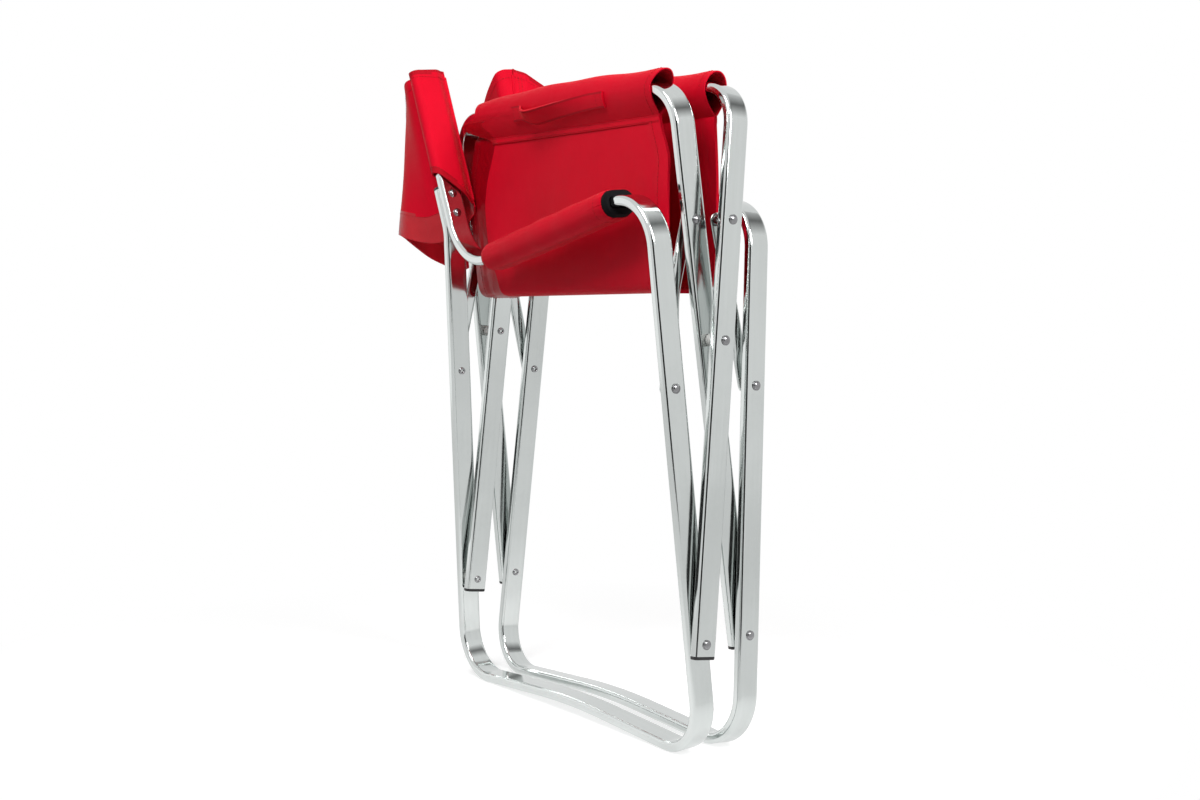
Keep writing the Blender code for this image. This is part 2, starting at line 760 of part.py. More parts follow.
def build_cross_rivets():
    """Make the two crossing rivets and the spacers between the seat frames."""
    base = cross_point()
    items = []
    for place, front in (("front", True), ("rear", False)):
        left = seat_leg_y(LEFT, front, CROSS_HEIGHT)
        right = seat_leg_y(RIGHT, front, CROSS_HEIGHT)
        low = left - HALF_TUBE
        high = right + HALF_TUBE
        head, tail = (low, high) if front else (high, low)
        items.append(rivet(place + "_cross_rivet", base, Y_WAY, head, tail))
        near = left + HALF_TUBE + FACE_GAP
        far = right - HALF_TUBE - FACE_GAP
        items.append(ring(place + "_cross_spacer", base, Y_WAY, near, far))
    return items


def build_upper_pins(side, name):
    """Make the shouldered pins where a seat frame meets its links."""
    base = upper_point(side)
    items = []
    for place, front in (("front", True), ("rear", False)):
        leg = seat_leg_y(side, front, UPPER_PIVOT_HEIGHT)
        link = link_y(side, front)
        way = 1.0 if link > leg else -1.0
        shoulder = leg + way * (HALF_TUBE + FACE_GAP)
        stop = link - way * (HALF_LINK_END + OPEN_PIVOT_GAP)
        profile = head_profile(leg - way * HALF_TUBE, way)
        profile += [(shoulder, SHANK_RADIUS), (shoulder, BUSH_RADIUS), (stop, BUSH_RADIUS)]
        items.append(turned(f"{name}_{place}_upper_pin", base, Y_WAY, profile, "steel", 12))
    return items


# Links


def build_link(side, front, name):
    """Make one link with flattened ends and the rolled rivet end it carries."""
    y = link_y(side, front)
    low = lower_point(side, y)
    high = upper_point(side, y)
    length = np.linalg.norm(high - low)
    way = (high - low) / length
    across = np.cross(way, Y_WAY)
    stations = []
    for step in range(1, 5):
        angle = pi / 2 * step / 4
        stations.append((-LINK_END_RADIUS * cos(angle), LINK_END_RADIUS * sin(angle), HALF_LINK_END))
    stations.append((LINK_FLAT, LINK_END_RADIUS, HALF_LINK_END))
    stations.append((LINK_FLAT + LINK_SWELL / 2, LINK_WIDTH / 2, (LINK_THICK * 0.8 + LINK_END_THICK * 0.2) / 2))
    stations.append((LINK_FLAT + LINK_SWELL, LINK_WIDTH / 2, LINK_THICK / 2))
    stations += [(length - along, wide, thick) for along, wide, thick in reversed(stations)]
    rings = []
    for along, wide, thick in stations:
        section = rounded_rect(2 * wide, 2 * thick, min(thick, wide) * 0.75, 2)
        rings.append([low + way * along + across * b + Y_WAY * n for b, n in section])
    item = solid_sweep(name + "_link", rings, "aluminium")
    drill(item, [(low, Y_WAY, LINK_THICK), (high, Y_WAY, LINK_THICK)])
    leg = seat_leg_y(side, front, UPPER_PIVOT_HEIGHT)
    turn = 1.0 if y > leg else -1.0
    profile = [(-turn * HALF_LINK_END, SHANK_RADIUS)] + tail_profile(turn * HALF_LINK_END, turn)
    pin = turned(name + "_link_pin", high, Y_WAY, profile, "steel")
    hang_on([item, pin], name + "_link_pivot", low, Y_WAY)


# Seat cloth


def seat_point(side, y, drop, inward):
    """Return a point of a seat half from its drop below the rail and its inward offset."""
    return rail_point(side, y) - Z_WAY * drop + np.array((-side * inward, 0.0, 0.0))


def sleeve_ends(side):
    """Return the front and rear ends of the sleeve on a seat rail."""
    corners = rail_corners(side)
    if side == RIGHT:
        return corners[1][0] + RIGHT_SLEEVE_FRONT_INSET, corners[2][0] - RIGHT_SLEEVE_REAR_INSET
    return corners[1][0] + LEFT_SLEEVE_FRONT_INSET, corners[2][0] - LEFT_SLEEVE_REAR_INSET


def seat_edges():
    """Return the front and rear edges of the seat cloth below its sleeves."""
    pin_end = link_y(RIGHT, True) + HALF_LINK_END + HEAD_GAP + TAIL_HEIGHT
    body_end = link_y(RIGHT, True) + LINK_THICK / 2
    front = max(pin_end, body_end) + SEAT_FRONT_CLEAR
    head_end = seat_leg_y(LEFT, False, UPPER_PIVOT_HEIGHT) - HALF_TUBE - HEAD_GAP - HEAD_HEIGHT
    return front, head_end - SEAT_REAR_CLEAR


def loop_half_width(drop):
    """Return half the outer width of a rail sleeve at a drop below the rail."""
    return (SEAT_LOOP_RADIUS + CLOTH) * (1 - (drop / SEAT_LOOP_TAIL) ** SEAT_LOOP_POWER)


def loop_sections():
    """Return the outer and inner outlines of a rail sleeve as (drop, inward)."""
    edge = SEAT_LOOP_RADIUS + CLOTH
    outer = []
    inner = []
    for step in range(13):
        angle = pi * step / 12
        outer.append((-sin(angle) * edge, cos(angle) * edge))
        inner.append((-sin(angle) * SEAT_LOOP_RADIUS, cos(angle) * SEAT_LOOP_RADIUS))
    drops = [SEAT_LOOP_TAIL * share for share in (0.25, 0.5, 0.75)]
    hollow = SEAT_LOOP_TAIL - SEAM_DEPTH
    for drop in drops:
        outer.append((drop, -loop_half_width(drop)))
        inner.append((drop, CLOTH - loop_half_width(drop)))
    outer += [(SEAT_LOOP_TAIL, -1.5 * CLOTH), (SEAT_LOOP_TAIL, 1.5 * CLOTH)]
    inner += [(hollow, -0.5 * CLOTH), (hollow, 0.5 * CLOTH)]
    for drop in reversed(drops):
        outer.append((drop, loop_half_width(drop)))
        inner.append((drop, loop_half_width(drop) - CLOTH))
    return outer, inner


def seat_hang(part, fold):
    """Return the drop, inward offset and inward and upward normal along a hanging panel.

    The first half of the parts hangs straight, and the rest is a quarter ellipse that
    turns in to the fold between the two halves.
    """
    start = SEAT_LOOP_TAIL - SEAM_LAP
    straight = fold - SEAT_FOLD_ROUND
    if part <= 0.5:
        return start + (straight - start) * 2 * part, 0.0, 1.0, 0.0
    angle = pi * (part - 0.5)
    reach = abs(rail_point(LEFT)[0]) - SEAT_HALF_GAP / 2
    slope = unit((SEAT_FOLD_ROUND * cos(angle), reach * sin(angle)))
    return straight + SEAT_FOLD_ROUND * sin(angle), reach * (1 - cos(angle)), slope[0], slope[1]


def build_seat_half(side, name):
    """Make one half of the seat cloth: the rail sleeve and the hanging panel."""
    front, rear = sleeve_ends(side)
    rings = [
        [[seat_point(side, y, drop, inward) for drop, inward in outline] for y in (front, rear)]
        for outline in loop_sections()
    ]
    sleeve = hollow_sweep(name + "_seat_cloth", rings[0], rings[1], "cloth")
    edge_front, edge_rear = seat_edges()
    rows = 13
    cols = 16
    grid = np.zeros((rows, cols, 3))
    normals = np.zeros((rows, cols, 3))
    for r in range(rows):
        part = r / (rows - 1)
        for c in range(cols):
            share = c / (cols - 1)
            fold = SEAT_HALF_DEPTH - SEAT_FRONT_RISE * (1 - share)
            drop, inward, normal_in, normal_up = seat_hang(part, fold)
            widen = min(1.0, (drop - SEAT_LOOP_TAIL + SEAM_LAP) / SEAT_TAPER)
            low_y = front + (edge_front - front) * widen
            high_y = rear + (edge_rear - rear) * widen
            billow = SEAT_BILLOW * sin(pi * part) * (0.6 + 0.4 * sin(pi * share))
            wave = SEAT_WAVE * sin(pi * part) * (1 - cos(2 * pi * SEAT_WAVES * share)) / 2
            y = low_y + (high_y - low_y) * share
            normals[r, c] = (-side * normal_in, 0.0, normal_up)
            grid[r, c] = seat_point(side, y, drop, inward) - normals[r, c] * (billow + wave)
    panel = plate(name + "_seat_hanging_part", grid, normals, CLOTH - GAP, "cloth")
    combine(sleeve, panel, "UNION")
    return [sleeve, panel]


def build_handle():
    """Make the carry strap sewn on the flap of the right seat sleeve."""
    start = sleeve_ends(RIGHT)[0] + HANDLE_START
    rows = 15
    cols = 4
    grid = np.zeros((rows, cols, 3))
    normals = np.zeros((rows, cols, 3))
    for r in range(rows):
        share = r / (rows - 1)
        free = (HANDLE_LENGTH * share - HANDLE_SEWN) / (HANDLE_LENGTH - 2 * HANDLE_SEWN)
        bump = sin(pi * min(max(free, 0.0), 1.0))
        lift = HANDLE_THICK / 2 + GAP + HANDLE_RISE * bump
        for c in range(cols):
            drop = HANDLE_DROP + HANDLE_WIDTH * c / (cols - 1)
            slope = (loop_half_width(drop + GAP) - loop_half_width(drop - GAP)) / (2 * GAP)
            normals[r, c] = unit(np.array((RIGHT, 0.0, slope)))
            spot = seat_point(RIGHT, start + HANDLE_LENGTH * share, drop, -loop_half_width(drop))
            grid[r, c] = spot + normals[r, c] * lift
    return plate("carry_handle", grid, normals, HANDLE_THICK, "cloth")


# Backrest cloth


def build_back_sleeve(side, name):
    """Make the cloth sleeve round a back post."""
    plane = side_plane(side)
    inward, rear = post_frame(side)[1:]
    wide = BACK_SLEEVE_INNER + BACK_SLEEVE_OUTER
    middle = (BACK_SLEEVE_INNER - BACK_SLEEVE_OUTER) / 2
    thick = 2 * BACK_SLEEVE_HALF
    sections = [
        rounded_rect(wide, thick, BACK_SLEEVE_CORNER, 3),
        rounded_rect(wide - 2 * CLOTH, thick - 2 * CLOTH, BACK_SLEEVE_CORNER - CLOTH, 3),
    ]
    rings = []
    for section in sections:
        ends = [plane.point(post_line(height), height) for height in (BACK_SLEEVE_LOW, BACK_SLEEVE_TOP)]
        rings.append([[end + inward * (b + middle) + rear * n for b, n in section] for end in ends])
    return hollow_sweep(name + "_back_sleeve", rings[0], rings[1], "cloth")


def back_hinge(side, height):
    """Return a point of the line where a back half is sewn to its sleeve."""
    return side_plane(side).point(post_line(height), height, BACK_HINGE_IN)


def back_open_way(side):
    """Return the direction of a back half across the open chair."""
    axis = post_frame(side)[0]
    across = np.array((-side, 0.0, 0.0))
    return unit(across - axis * np.dot(across, axis))


def back_rest_way(side):
    """Return the direction of a back half on the folded chair."""
    inward, rear = post_frame(side)[1:]
    fold = radians(BACK_RIGHT_FOLD_DEG if side == RIGHT else BACK_LEFT_FOLD_DEG)
    return rear * cos(fold) + inward * sin(fold)


def build_back_half(side, name):
    """Make one half of the backrest cloth, folded to the rear."""
    axis, inward = post_frame(side)[:2]
    way = back_rest_way(side)
    out = np.cross(way, axis)
    out = out if np.dot(out, inward) < 0 else -out
    open_share = abs(back_open_way(side)[0])
    open_half = CROSS_TO_FOOT * sin(OPEN_CROSS)
    extra = BACK_LENGTH_STEP if side == RIGHT else -BACK_LENGTH_STEP
    rows = 8
    cols = 21
    grid = np.zeros((rows, cols, 3))
    normals = np.zeros((rows, cols, 3))
    for r in range(rows):
        height = BACK_HALF_LOW + (BACK_HALF_TOP - BACK_HALF_LOW) * r / (rows - 1)
        hinge = back_hinge(side, height)
        reach = (open_half - FOOT_HALF_SPACING + abs(hinge[0])) / open_share + extra - GAP
        for c in range(cols):
            share = c / (cols - 1)
            wave = (1 - cos(2 * pi * share)) / 2
            slope = BACK_BULGE * pi * sin(2 * pi * share) / reach
            grid[r, c] = hinge + way * reach * share + out * BACK_BULGE * wave
            normals[r, c] = unit(out - way * slope)
    return plate(name + "_back_cloth", grid, normals, CLOTH, "cloth")


# Assembly


def build_side(side, name):
    """Make everything that moves with one side frame."""
    items = [build_side_frame(side, name), build_back_sleeve(side, name)]
    items += build_side_plugs(side, name)
    items += build_arm_pad(side, name)
    items += build_foot_rivets(side, name)
    items += build_lower_rivets(side, name)
    items += build_post_rivets(side, name)
    return items


def build_seat_unit(side, name):
    """Make everything that moves with one seat frame."""
    items = [build_seat_frame(side, name)]
    items += build_seat_plugs(side, name + "_seat")
    items += build_upper_pins(side, name)
    return items


def build_cloth(side, name):
    """Make the seat half and the back half of one side on their pivots."""
    seat = build_seat_half(side, name)
    if side == RIGHT:
        seat.append(build_handle())
    hang_on(seat, name + "_seat_cloth_pivot", rail_point(side), Y_WAY)
    middle = back_hinge(side, (BACK_HALF_LOW + BACK_HALF_TOP) / 2)
    hang_on([build_back_half(side, name)], name + "_back_cloth_pivot", middle, post_frame(side)[0])


def main():
    """Build the folded chair."""
    clear_scene()
    build_side(RIGHT, "right")
    hang_on(build_side(LEFT, "left"), "left_side_pivot", foot_point(LEFT), Y_WAY)
    left_seat = build_seat_unit(LEFT, "left") + build_cross_rivets()
    hang_on(left_seat, "left_seat_pivot", foot_point(RIGHT), Y_WAY)
    hang_on(build_seat_unit(RIGHT, "right"), "right_seat_pivot", cross_point(), Y_WAY)
    for side, name in ((RIGHT, "right"), (LEFT, "left")):
        build_link(side, True, name + "_front")
        build_link(side, False, name + "_rear")
        build_cloth(side, name)


main()
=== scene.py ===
"""Looks of a folded directors chair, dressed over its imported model.

Every piece is a surface worked out with numpy in metres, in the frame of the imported
model: x runs to the chair's left, y to its rear and z up.
"""

import json
import logging
from dataclasses import dataclass
from enum import Enum
from math import atan, cos, pi, radians, sin, sqrt, tan

import bmesh
import bpy
import numpy as np
from mathutils import Matrix, Vector


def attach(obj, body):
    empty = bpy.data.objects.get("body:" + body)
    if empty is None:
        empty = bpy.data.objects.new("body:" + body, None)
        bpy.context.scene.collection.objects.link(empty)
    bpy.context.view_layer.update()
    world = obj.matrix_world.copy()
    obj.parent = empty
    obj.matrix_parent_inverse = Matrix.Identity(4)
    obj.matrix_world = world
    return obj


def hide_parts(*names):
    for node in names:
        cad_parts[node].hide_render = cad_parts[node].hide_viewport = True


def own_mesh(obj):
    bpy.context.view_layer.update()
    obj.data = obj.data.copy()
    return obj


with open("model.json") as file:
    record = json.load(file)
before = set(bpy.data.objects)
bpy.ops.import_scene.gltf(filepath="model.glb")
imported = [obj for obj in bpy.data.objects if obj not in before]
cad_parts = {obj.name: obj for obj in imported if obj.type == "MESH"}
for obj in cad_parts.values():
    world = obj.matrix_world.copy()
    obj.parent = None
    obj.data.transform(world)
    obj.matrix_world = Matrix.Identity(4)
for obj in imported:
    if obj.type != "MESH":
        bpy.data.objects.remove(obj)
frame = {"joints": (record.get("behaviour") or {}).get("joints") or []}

Array = np.ndarray
Colour = tuple[float, float, float, float]
Place = tuple[float, float, float]
Rows = list[tuple[float, float]]
Slots = tuple[int | Array, int | Array]
Socket = bpy.types.NodeSocket
Material = bpy.types.Material
Piece = bpy.types.Object

REAR = np.array((0.0, 1.0, 0.0))
# SKEW lies along no axis that a piece is turned on.
SKEW = (0.31, 0.17, 0.93)
STITCH_PITCH = 0.0040
STITCH_LENGTH = 0.0029
STITCH_RADIUS = 0.00042
MERGE_DISTANCE = 2e-6
SHORTEST_EDGE = 1e-7
SHARP_ANGLE = radians(38.0)
LOG = logging.getLogger("chair")


class Side(Enum):
    """The two sides of the chair, named as a sitter would."""

    RIGHT = "right"
    LEFT = "left"

    @property
    def sign(self) -> float:
        """Return the sign of x on this side."""
        return -1.0 if self is Side.RIGHT else 1.0

    @property
    def other(self) -> "Side":
        """Return the opposite side."""
        return Side.LEFT if self is Side.RIGHT else Side.RIGHT


class End(Enum):
    """The front and rear legs."""

    FRONT = "front"
    REAR = "rear"


class Slot(Enum):
    """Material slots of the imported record."""

    TUBE = "tube"
    STEEL = "steel"
    NYLON = "nylon"
    PLUG = "plug"
    FOAM = "foam"
    CLOTH = "cloth"


# Surfaces


def shares(count: int) -> Array:
    """Return even steps from 0 to 1."""
    return np.linspace(0.0, 1.0, count)


def unit(rows: Array) -> Array:
    """Return vectors at length one, along the last axis."""
    return rows / np.linalg.norm(rows, axis=-1, keepdims=True)


def ease(x: Array) -> Array:
    """Return the smooth step from 0 to 1 over x from 0 to 1: three x squared less two x cubed."""
    x = np.clip(x, 0.0, 1.0)
    return x * x * (3.0 - 2.0 * x)


def lengths(points: Array) -> Array:
    """Return the distance walked at each point of a path.

    Args:
        points: path points, along the first axis.

    Returns:
        The running sum of the step lengths, starting at zero.
    """
    steps = np.linalg.norm(np.diff(points, axis=0), axis=-1)
    return np.concatenate((np.zeros((1,) + steps.shape[1:]), np.cumsum(steps, axis=0)))


def widths(points: Array) -> Array:
    """Return the distance walked along each row of a grid of points."""
    return lengths(np.moveaxis(points, 1, 0)).T


def walk(points: Array, walked: Array, at: Array) -> Array:
    """Return rows of a path at given distances, read off between its own rows."""
    return np.stack([np.interp(at, walked, points[:, i]) for i in range(points.shape[1])], -1)


def curve_through(corners: Rows, count: int) -> Array:
    """Return points at even steps of length on a Catmull-Rom curve through corners.

    Between two corners the curve is the cubic that leaves each of them along the line
    from the corner before to the corner after; the end corners are mirrored outwards.

    Args:
        corners: the places the curve goes through.
        count: points to return.

    Returns:
        The points of the curve.
    """
    spots = np.array(corners, dtype=float)
    spots = np.concatenate(([2 * spots[0] - spots[1]], spots, [2 * spots[-1] - spots[-2]]))
    t = shares(33)[:-1, None]
    a, b, c, d = (spots[i : len(spots) - 3 + i, None] for i in range(4))
    square, cube = 2 * a - 5 * b + 4 * c - d, 3 * b - a - 3 * c + d
    runs = b + ((c - a) * t + square * t**2 + cube * t**3) / 2
    line = np.concatenate((runs.reshape(-1, spots.shape[1]), spots[-2:-1]))
    walked = lengths(line)
    return walk(line, walked, np.linspace(0.0, walked[-1], count))


@dataclass
class Surface:
    """Four-sided faces over points, with a UV in metres at each face corner."""

    points: Array
    faces: Array
    uvs: Array
    slots: Array

    @staticmethod
    def join(parts: list["Surface"]) -> "Surface":
        """Return several surfaces as one, with their faces counted on."""
        starts = np.cumsum([0] + [len(p.points) for p in parts[:-1]])
        return Surface(
            np.concatenate([p.points for p in parts]),
            np.concatenate([p.faces + start for p, start in zip(parts, starts)]),
            np.concatenate([p.uvs for p in parts]),
            np.concatenate([p.slots for p in parts]),
        )


def grid(points: Array, wrap: bool = False, slot: int | Array = 0, uv: Array | None = None) -> Surface:
    """Return the surface of a grid of points, each cell one face.

    Args:
        points: rows by columns by three.
        wrap: join the last column to the first one.
        slot: the material slot of all faces, or one for each cell.
        uv: rows by columns by two in metres, or None for the walked distances.

    Returns:
        The surface, with UV across the columns and along the rows.
    """
    rows, cols = points.shape[:2]
    if uv is None:
        closed = np.concatenate((points, points[:, :1]), axis=1) if wrap else points
        across = widths(closed)
        along = lengths(closed).mean(axis=1)
        uv = np.stack((across, np.repeat(along[:, None], across.shape[1], axis=1)), -1)
    r, c = np.meshgrid(np.arange(rows - 1), np.arange(cols if wrap else cols - 1), indexing="ij")
    n = (c + 1) % cols
    faces = np.stack((r * cols + c, r * cols + n, (r + 1) * cols + n, (r + 1) * cols + c), -1)
    corners = np.stack((uv[r, c], uv[r, c + 1], uv[r + 1, c + 1], uv[r + 1, c]), -2)
    slots = np.broadcast_to(slot, r.shape).reshape(-1)
    return Surface(points.reshape(-1, 3), faces.reshape(-1, 4), corners.reshape(-1, 4, 2), slots)


def band(one: Array, two: Array, slot: int = 0) -> Surface:
    """Return the strip of faces between two rings."""
    return grid(np.stack((one, two)), wrap=True, slot=slot)


def capped(rings: Array) -> Surface:
    """Return a tube through rings, each end covered by faces to its middle."""
    ends = (rings[0], rings[-1])
    covers = [band(ring, np.broadcast_to(ring.mean(axis=0), ring.shape)) for ring in ends]
    return Surface.join([grid(rings, wrap=True), *covers])


def grid_normals(points: Array) -> Array:
    """Return normals of a grid: the cross product of its two central differences."""
    return unit(np.cross(np.gradient(points, axis=0), np.gradient(points, axis=1)))


def normals_toward(points: Array, toward: Array) -> Array:
    """Return normals of a grid, turned round where they look away from a direction."""
    normals = grid_normals(points)
    facing = np.sum(normals * toward, axis=-1, keepdims=True)
    return normals * np.where(facing < 0, -1.0, 1.0)


def sheet(
    points: Array, toward: Array, thick: float | Array, slots: Slots, uv: Array | None = None
) -> Surface:
    """Return a closed cloth: a grid moved half its thickness each way along its normals, with rims.

    Args:
        points: rows by columns by three, the middle of the cloth.
        toward: a direction, or one for each point, that the outer face looks to.
        thick: thickness, or one for each point.
        slots: material slots of the outer and the inner face.
        uv: UV in metres, or None for the walked distances.

    Returns:
        The outer face, the inner face and the four rims.
    """
    half = normals_toward(points, toward) * np.broadcast_to(thick, points.shape[:2])[..., None] / 2
    outer, inner = points + half, points - half
    parts = [grid(outer, slot=slots[0], uv=uv), grid(inner, slot=slots[1], uv=uv)]
    rim_slot = int(np.min(slots[0]))
    for edge in ((0,), (-1,), (slice(None), 0), (slice(None), -1)):
        parts.append(grid(np.stack((outer[edge], inner[edge])), slot=rim_slot))
    return Surface.join(parts)


def lathe(profile: Rows, base: Array, axis: Array, sides: int = 40, closed: bool = False) -> Surface:
    """Return a turned shape: each (along, radius) of the profile is carried once round the axis.

    Args:
        profile: rows of distance along the axis and radius.
        base: the point the distances start from.
        axis: the direction of the axis.
        sides: steps round the axis.
        closed: join the profile's end to its start, as in a washer.

    Returns:
        The turned surface, its open ends brought to the axis.
    """
    rows = np.array(profile, dtype=float)
    if closed:
        rows = np.concatenate((rows, rows[:1]))
    else:
        rows = np.concatenate(([(rows[0, 0], 0.0)], rows, [(rows[-1, 0], 0.0)]))
    axis = unit(np.asarray(axis, dtype=float))
    first = unit(np.cross(axis, SKEW))
    second = np.cross(axis, first)
    turn = np.linspace(0.0, 2 * pi, sides, endpoint=False)
    ring = np.cos(turn)[:, None] * first + np.sin(turn)[:, None] * second
    points = base + rows[:, :1, None] * axis + rows[:, 1, None, None] * ring
    return grid(points, wrap=True)


def flat_oval(width: float, thick: float, corner: float, steps: int = 7) -> Array:
    """Return a rounded rectangle as (across, through) rows.

    Four quarter circles of the corner radius stand at the corners, and each flat has
    support points near its ends so that it shades flat.

    Args:
        width: full size across.
        thick: full size through.
        corner: corner radius.
        steps: steps in each quarter circle.

    Returns:
        The closed outline, without its first point repeated.
    """
    angle = np.linspace(0.0, pi / 2, steps + 1)
    arc = np.stack((np.cos(angle), np.sin(angle)), -1) * corner
    arc = arc + np.array((width / 2 - corner, thick / 2 - corner))
    turned = arc[::-1]
    quarters = [arc, turned * (-1, 1), arc * (-1, -1), turned * (1, -1)]
    support = np.array((0.06, 0.5, 0.94))[:, None]
    outline = []
    for quarter, after in zip(quarters, quarters[1:] + quarters[:1]):
        outline += [quarter, quarter[-1] + (after[0] - quarter[-1]) * support]
    return np.concatenate(outline)


def bent_path(corners: Rows, bends: tuple[float, ...], steps: int = 22) -> Array:
    """Return rows of (u, v, tu, tv) along a line whose corners are rounded by circles.

    Args:
        corners: corner points in a plane.
        bends: bend radius at each inner corner.
        steps: steps in each bend.

    Returns:
        Places and directions along the path.
    """
    spots = np.array(corners, dtype=float)
    rows = [np.concatenate((spots[0], unit(spots[1] - spots[0])))[None]]
    for before, corner, after, bend in zip(spots, spots[1:], spots[2:], bends):
        back, ahead = unit(before - corner), unit(after - corner)
        half = np.arccos(np.dot(back, ahead)) / 2
        start = corner + back * bend / tan(half)
        centre = corner + unit(back + ahead) * bend / sin(half)
        turn = 1.0 if back[1] * ahead[0] - back[0] * ahead[1] > 0 else -1.0
        angle = turn * (pi - 2 * half) * shares(steps + 1)
        c, s = np.cos(angle), np.sin(angle)
        spin = np.stack((c, -s, s, c), -1).reshape(-1, 2, 2)
        rows.append(np.concatenate((centre + spin @ (start - centre), spin @ -back), axis=1))
    rows.append(np.concatenate((spots[-1], unit(spots[-1] - spots[-2])))[None])
    return np.concatenate(rows)


@dataclass(frozen=True)
class Plane:
    """A working plane: u runs to the rear, v up in the plane and b across it."""

    origin: Array
    up: Array
    across: Array

    def point(self, u: Array, v: Array, b: Array | float = 0.0) -> Array:
        """Return chair points of plane coordinates."""
        u, v, b = (np.asarray(a, dtype=float)[..., None] for a in (u, v, b))
        return self.origin + REAR * u + self.up * v + self.across * b

    def sweep(self, path: Array, section: Array) -> Array:
        """Return a section carried along a path: b across the plane, n square to the path in it."""
        u, v, tu, tv = (path[:, i, None] for i in range(4))
        b, n = section[None, :, 0], section[None, :, 1]
        return self.point(u - tv * n, v + tu * n, b + 0 * u)


def stitch_row(points: Array, normals: Array, lift: float | Array = 0.0) -> Surface:
    """Return a row of stitches: short six-sided spindles laid along a path.

    Args:
        points: the path on the cloth.
        normals: the cloth's normals along it.
        lift: how far the row lies above the path, or that for each point.

    Returns:
        All spindles as one surface.
    """
    path = points + normals * np.broadcast_to(lift, len(points))[:, None]
    walked = lengths(path)
    count = max(2, int(walked[-1] / STITCH_PITCH))
    at = (np.arange(count) + 0.5) * walked[-1] / count
    near = STITCH_PITCH * 0.2
    up = unit(walk(normals, walked, at))
    way = unit(walk(path, walked, at + near) - walk(path, walked, at - near))
    axes = np.stack((way, np.cross(up, way), up), -2)
    along = np.array((-0.5, -0.32, 0.0, 0.32, 0.5))[:, None] * STITCH_LENGTH
    wide = np.array((0.05, 0.8, 1.0, 0.8, 0.05))[:, None] * STITCH_RADIUS
    dip = STITCH_RADIUS * 0.35 * (np.abs(along) > STITCH_LENGTH * 0.4)
    turn = np.arange(6) * pi / 3
    local = np.stack(np.broadcast_arrays(along, wide * np.cos(turn), wide * np.sin(turn) - dip), -1)
    placed = walk(path, walked, at)[:, None, None] + local @ axes[:, None]
    one = grid(local, wrap=True)
    starts = np.arange(count)[:, None, None] * len(one.points)
    return Surface(
        placed.reshape(-1, 3),
        (one.faces[None] + starts).reshape(-1, 4),
        np.tile(one.uvs, (count, 1, 1)),
        np.zeros(count * len(one.faces), dtype=int),
    )


def make_piece(name: str, surface: Surface, finishes: list[Material]) -> Piece:
    """Return an object made of a surface, its doubles merged and its faces turned outwards.

    Args:
        name: the piece's name.
        surface: its points, faces, UVs and slots.
        finishes: materials in slot order.

    Returns:
        The object, at the origin.
    """
    mesh = bpy.data.meshes.new(name)
    mesh.from_pydata(surface.points.tolist(), [], surface.faces.tolist())
    layer = mesh.uv_layers.new(name="UVMap")
    layer.data.foreach_set("uv", surface.uvs.reshape(-1).astype(np.float32))
    for finish in finishes:
        mesh.materials.append(finish)
    mesh.polygons.foreach_set("material_index", surface.slots.astype(np.int32))
    work = bmesh.new()
    work.from_mesh(mesh)
    bmesh.ops.remove_doubles(work, verts=work.verts, dist=MERGE_DISTANCE)
    bmesh.ops.dissolve_degenerate(work, edges=work.edges, dist=SHORTEST_EDGE)
    bmesh.ops.recalc_face_normals(work, faces=work.faces)
    work.to_mesh(mesh)
    work.free()
    mesh.polygons.foreach_set("use_smooth", np.ones(len(mesh.polygons), dtype=bool))
    mesh.set_sharp_from_angle(angle=SHARP_ANGLE)
    mesh.update()
    piece = bpy.data.objects.new(name, mesh)
    bpy.context.collection.objects.link(piece)
    return piece


def settle(piece: Piece, body: str, nodes: list[str] | None = None) -> Piece:
    """Let a piece ride a body and stand for its CAD nodes.

    Args:
        piece: the finished piece.
        body: the body that carries it.
        nodes: CAD nodes that it stands for.

    Returns:
        The piece.
    """
    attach(piece, body)
    if nodes:
        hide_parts(*nodes)
    LOG.info("%s rides %s with %d faces", piece.name, body, len(piece.data.polygons))
    return piece


# Finishes


def fill(node: bpy.types.Node, values: dict[str, object]) -> None:
    """Set inputs of a node by their names."""
    for name, value in values.items():
        node.inputs[name].default_value = value


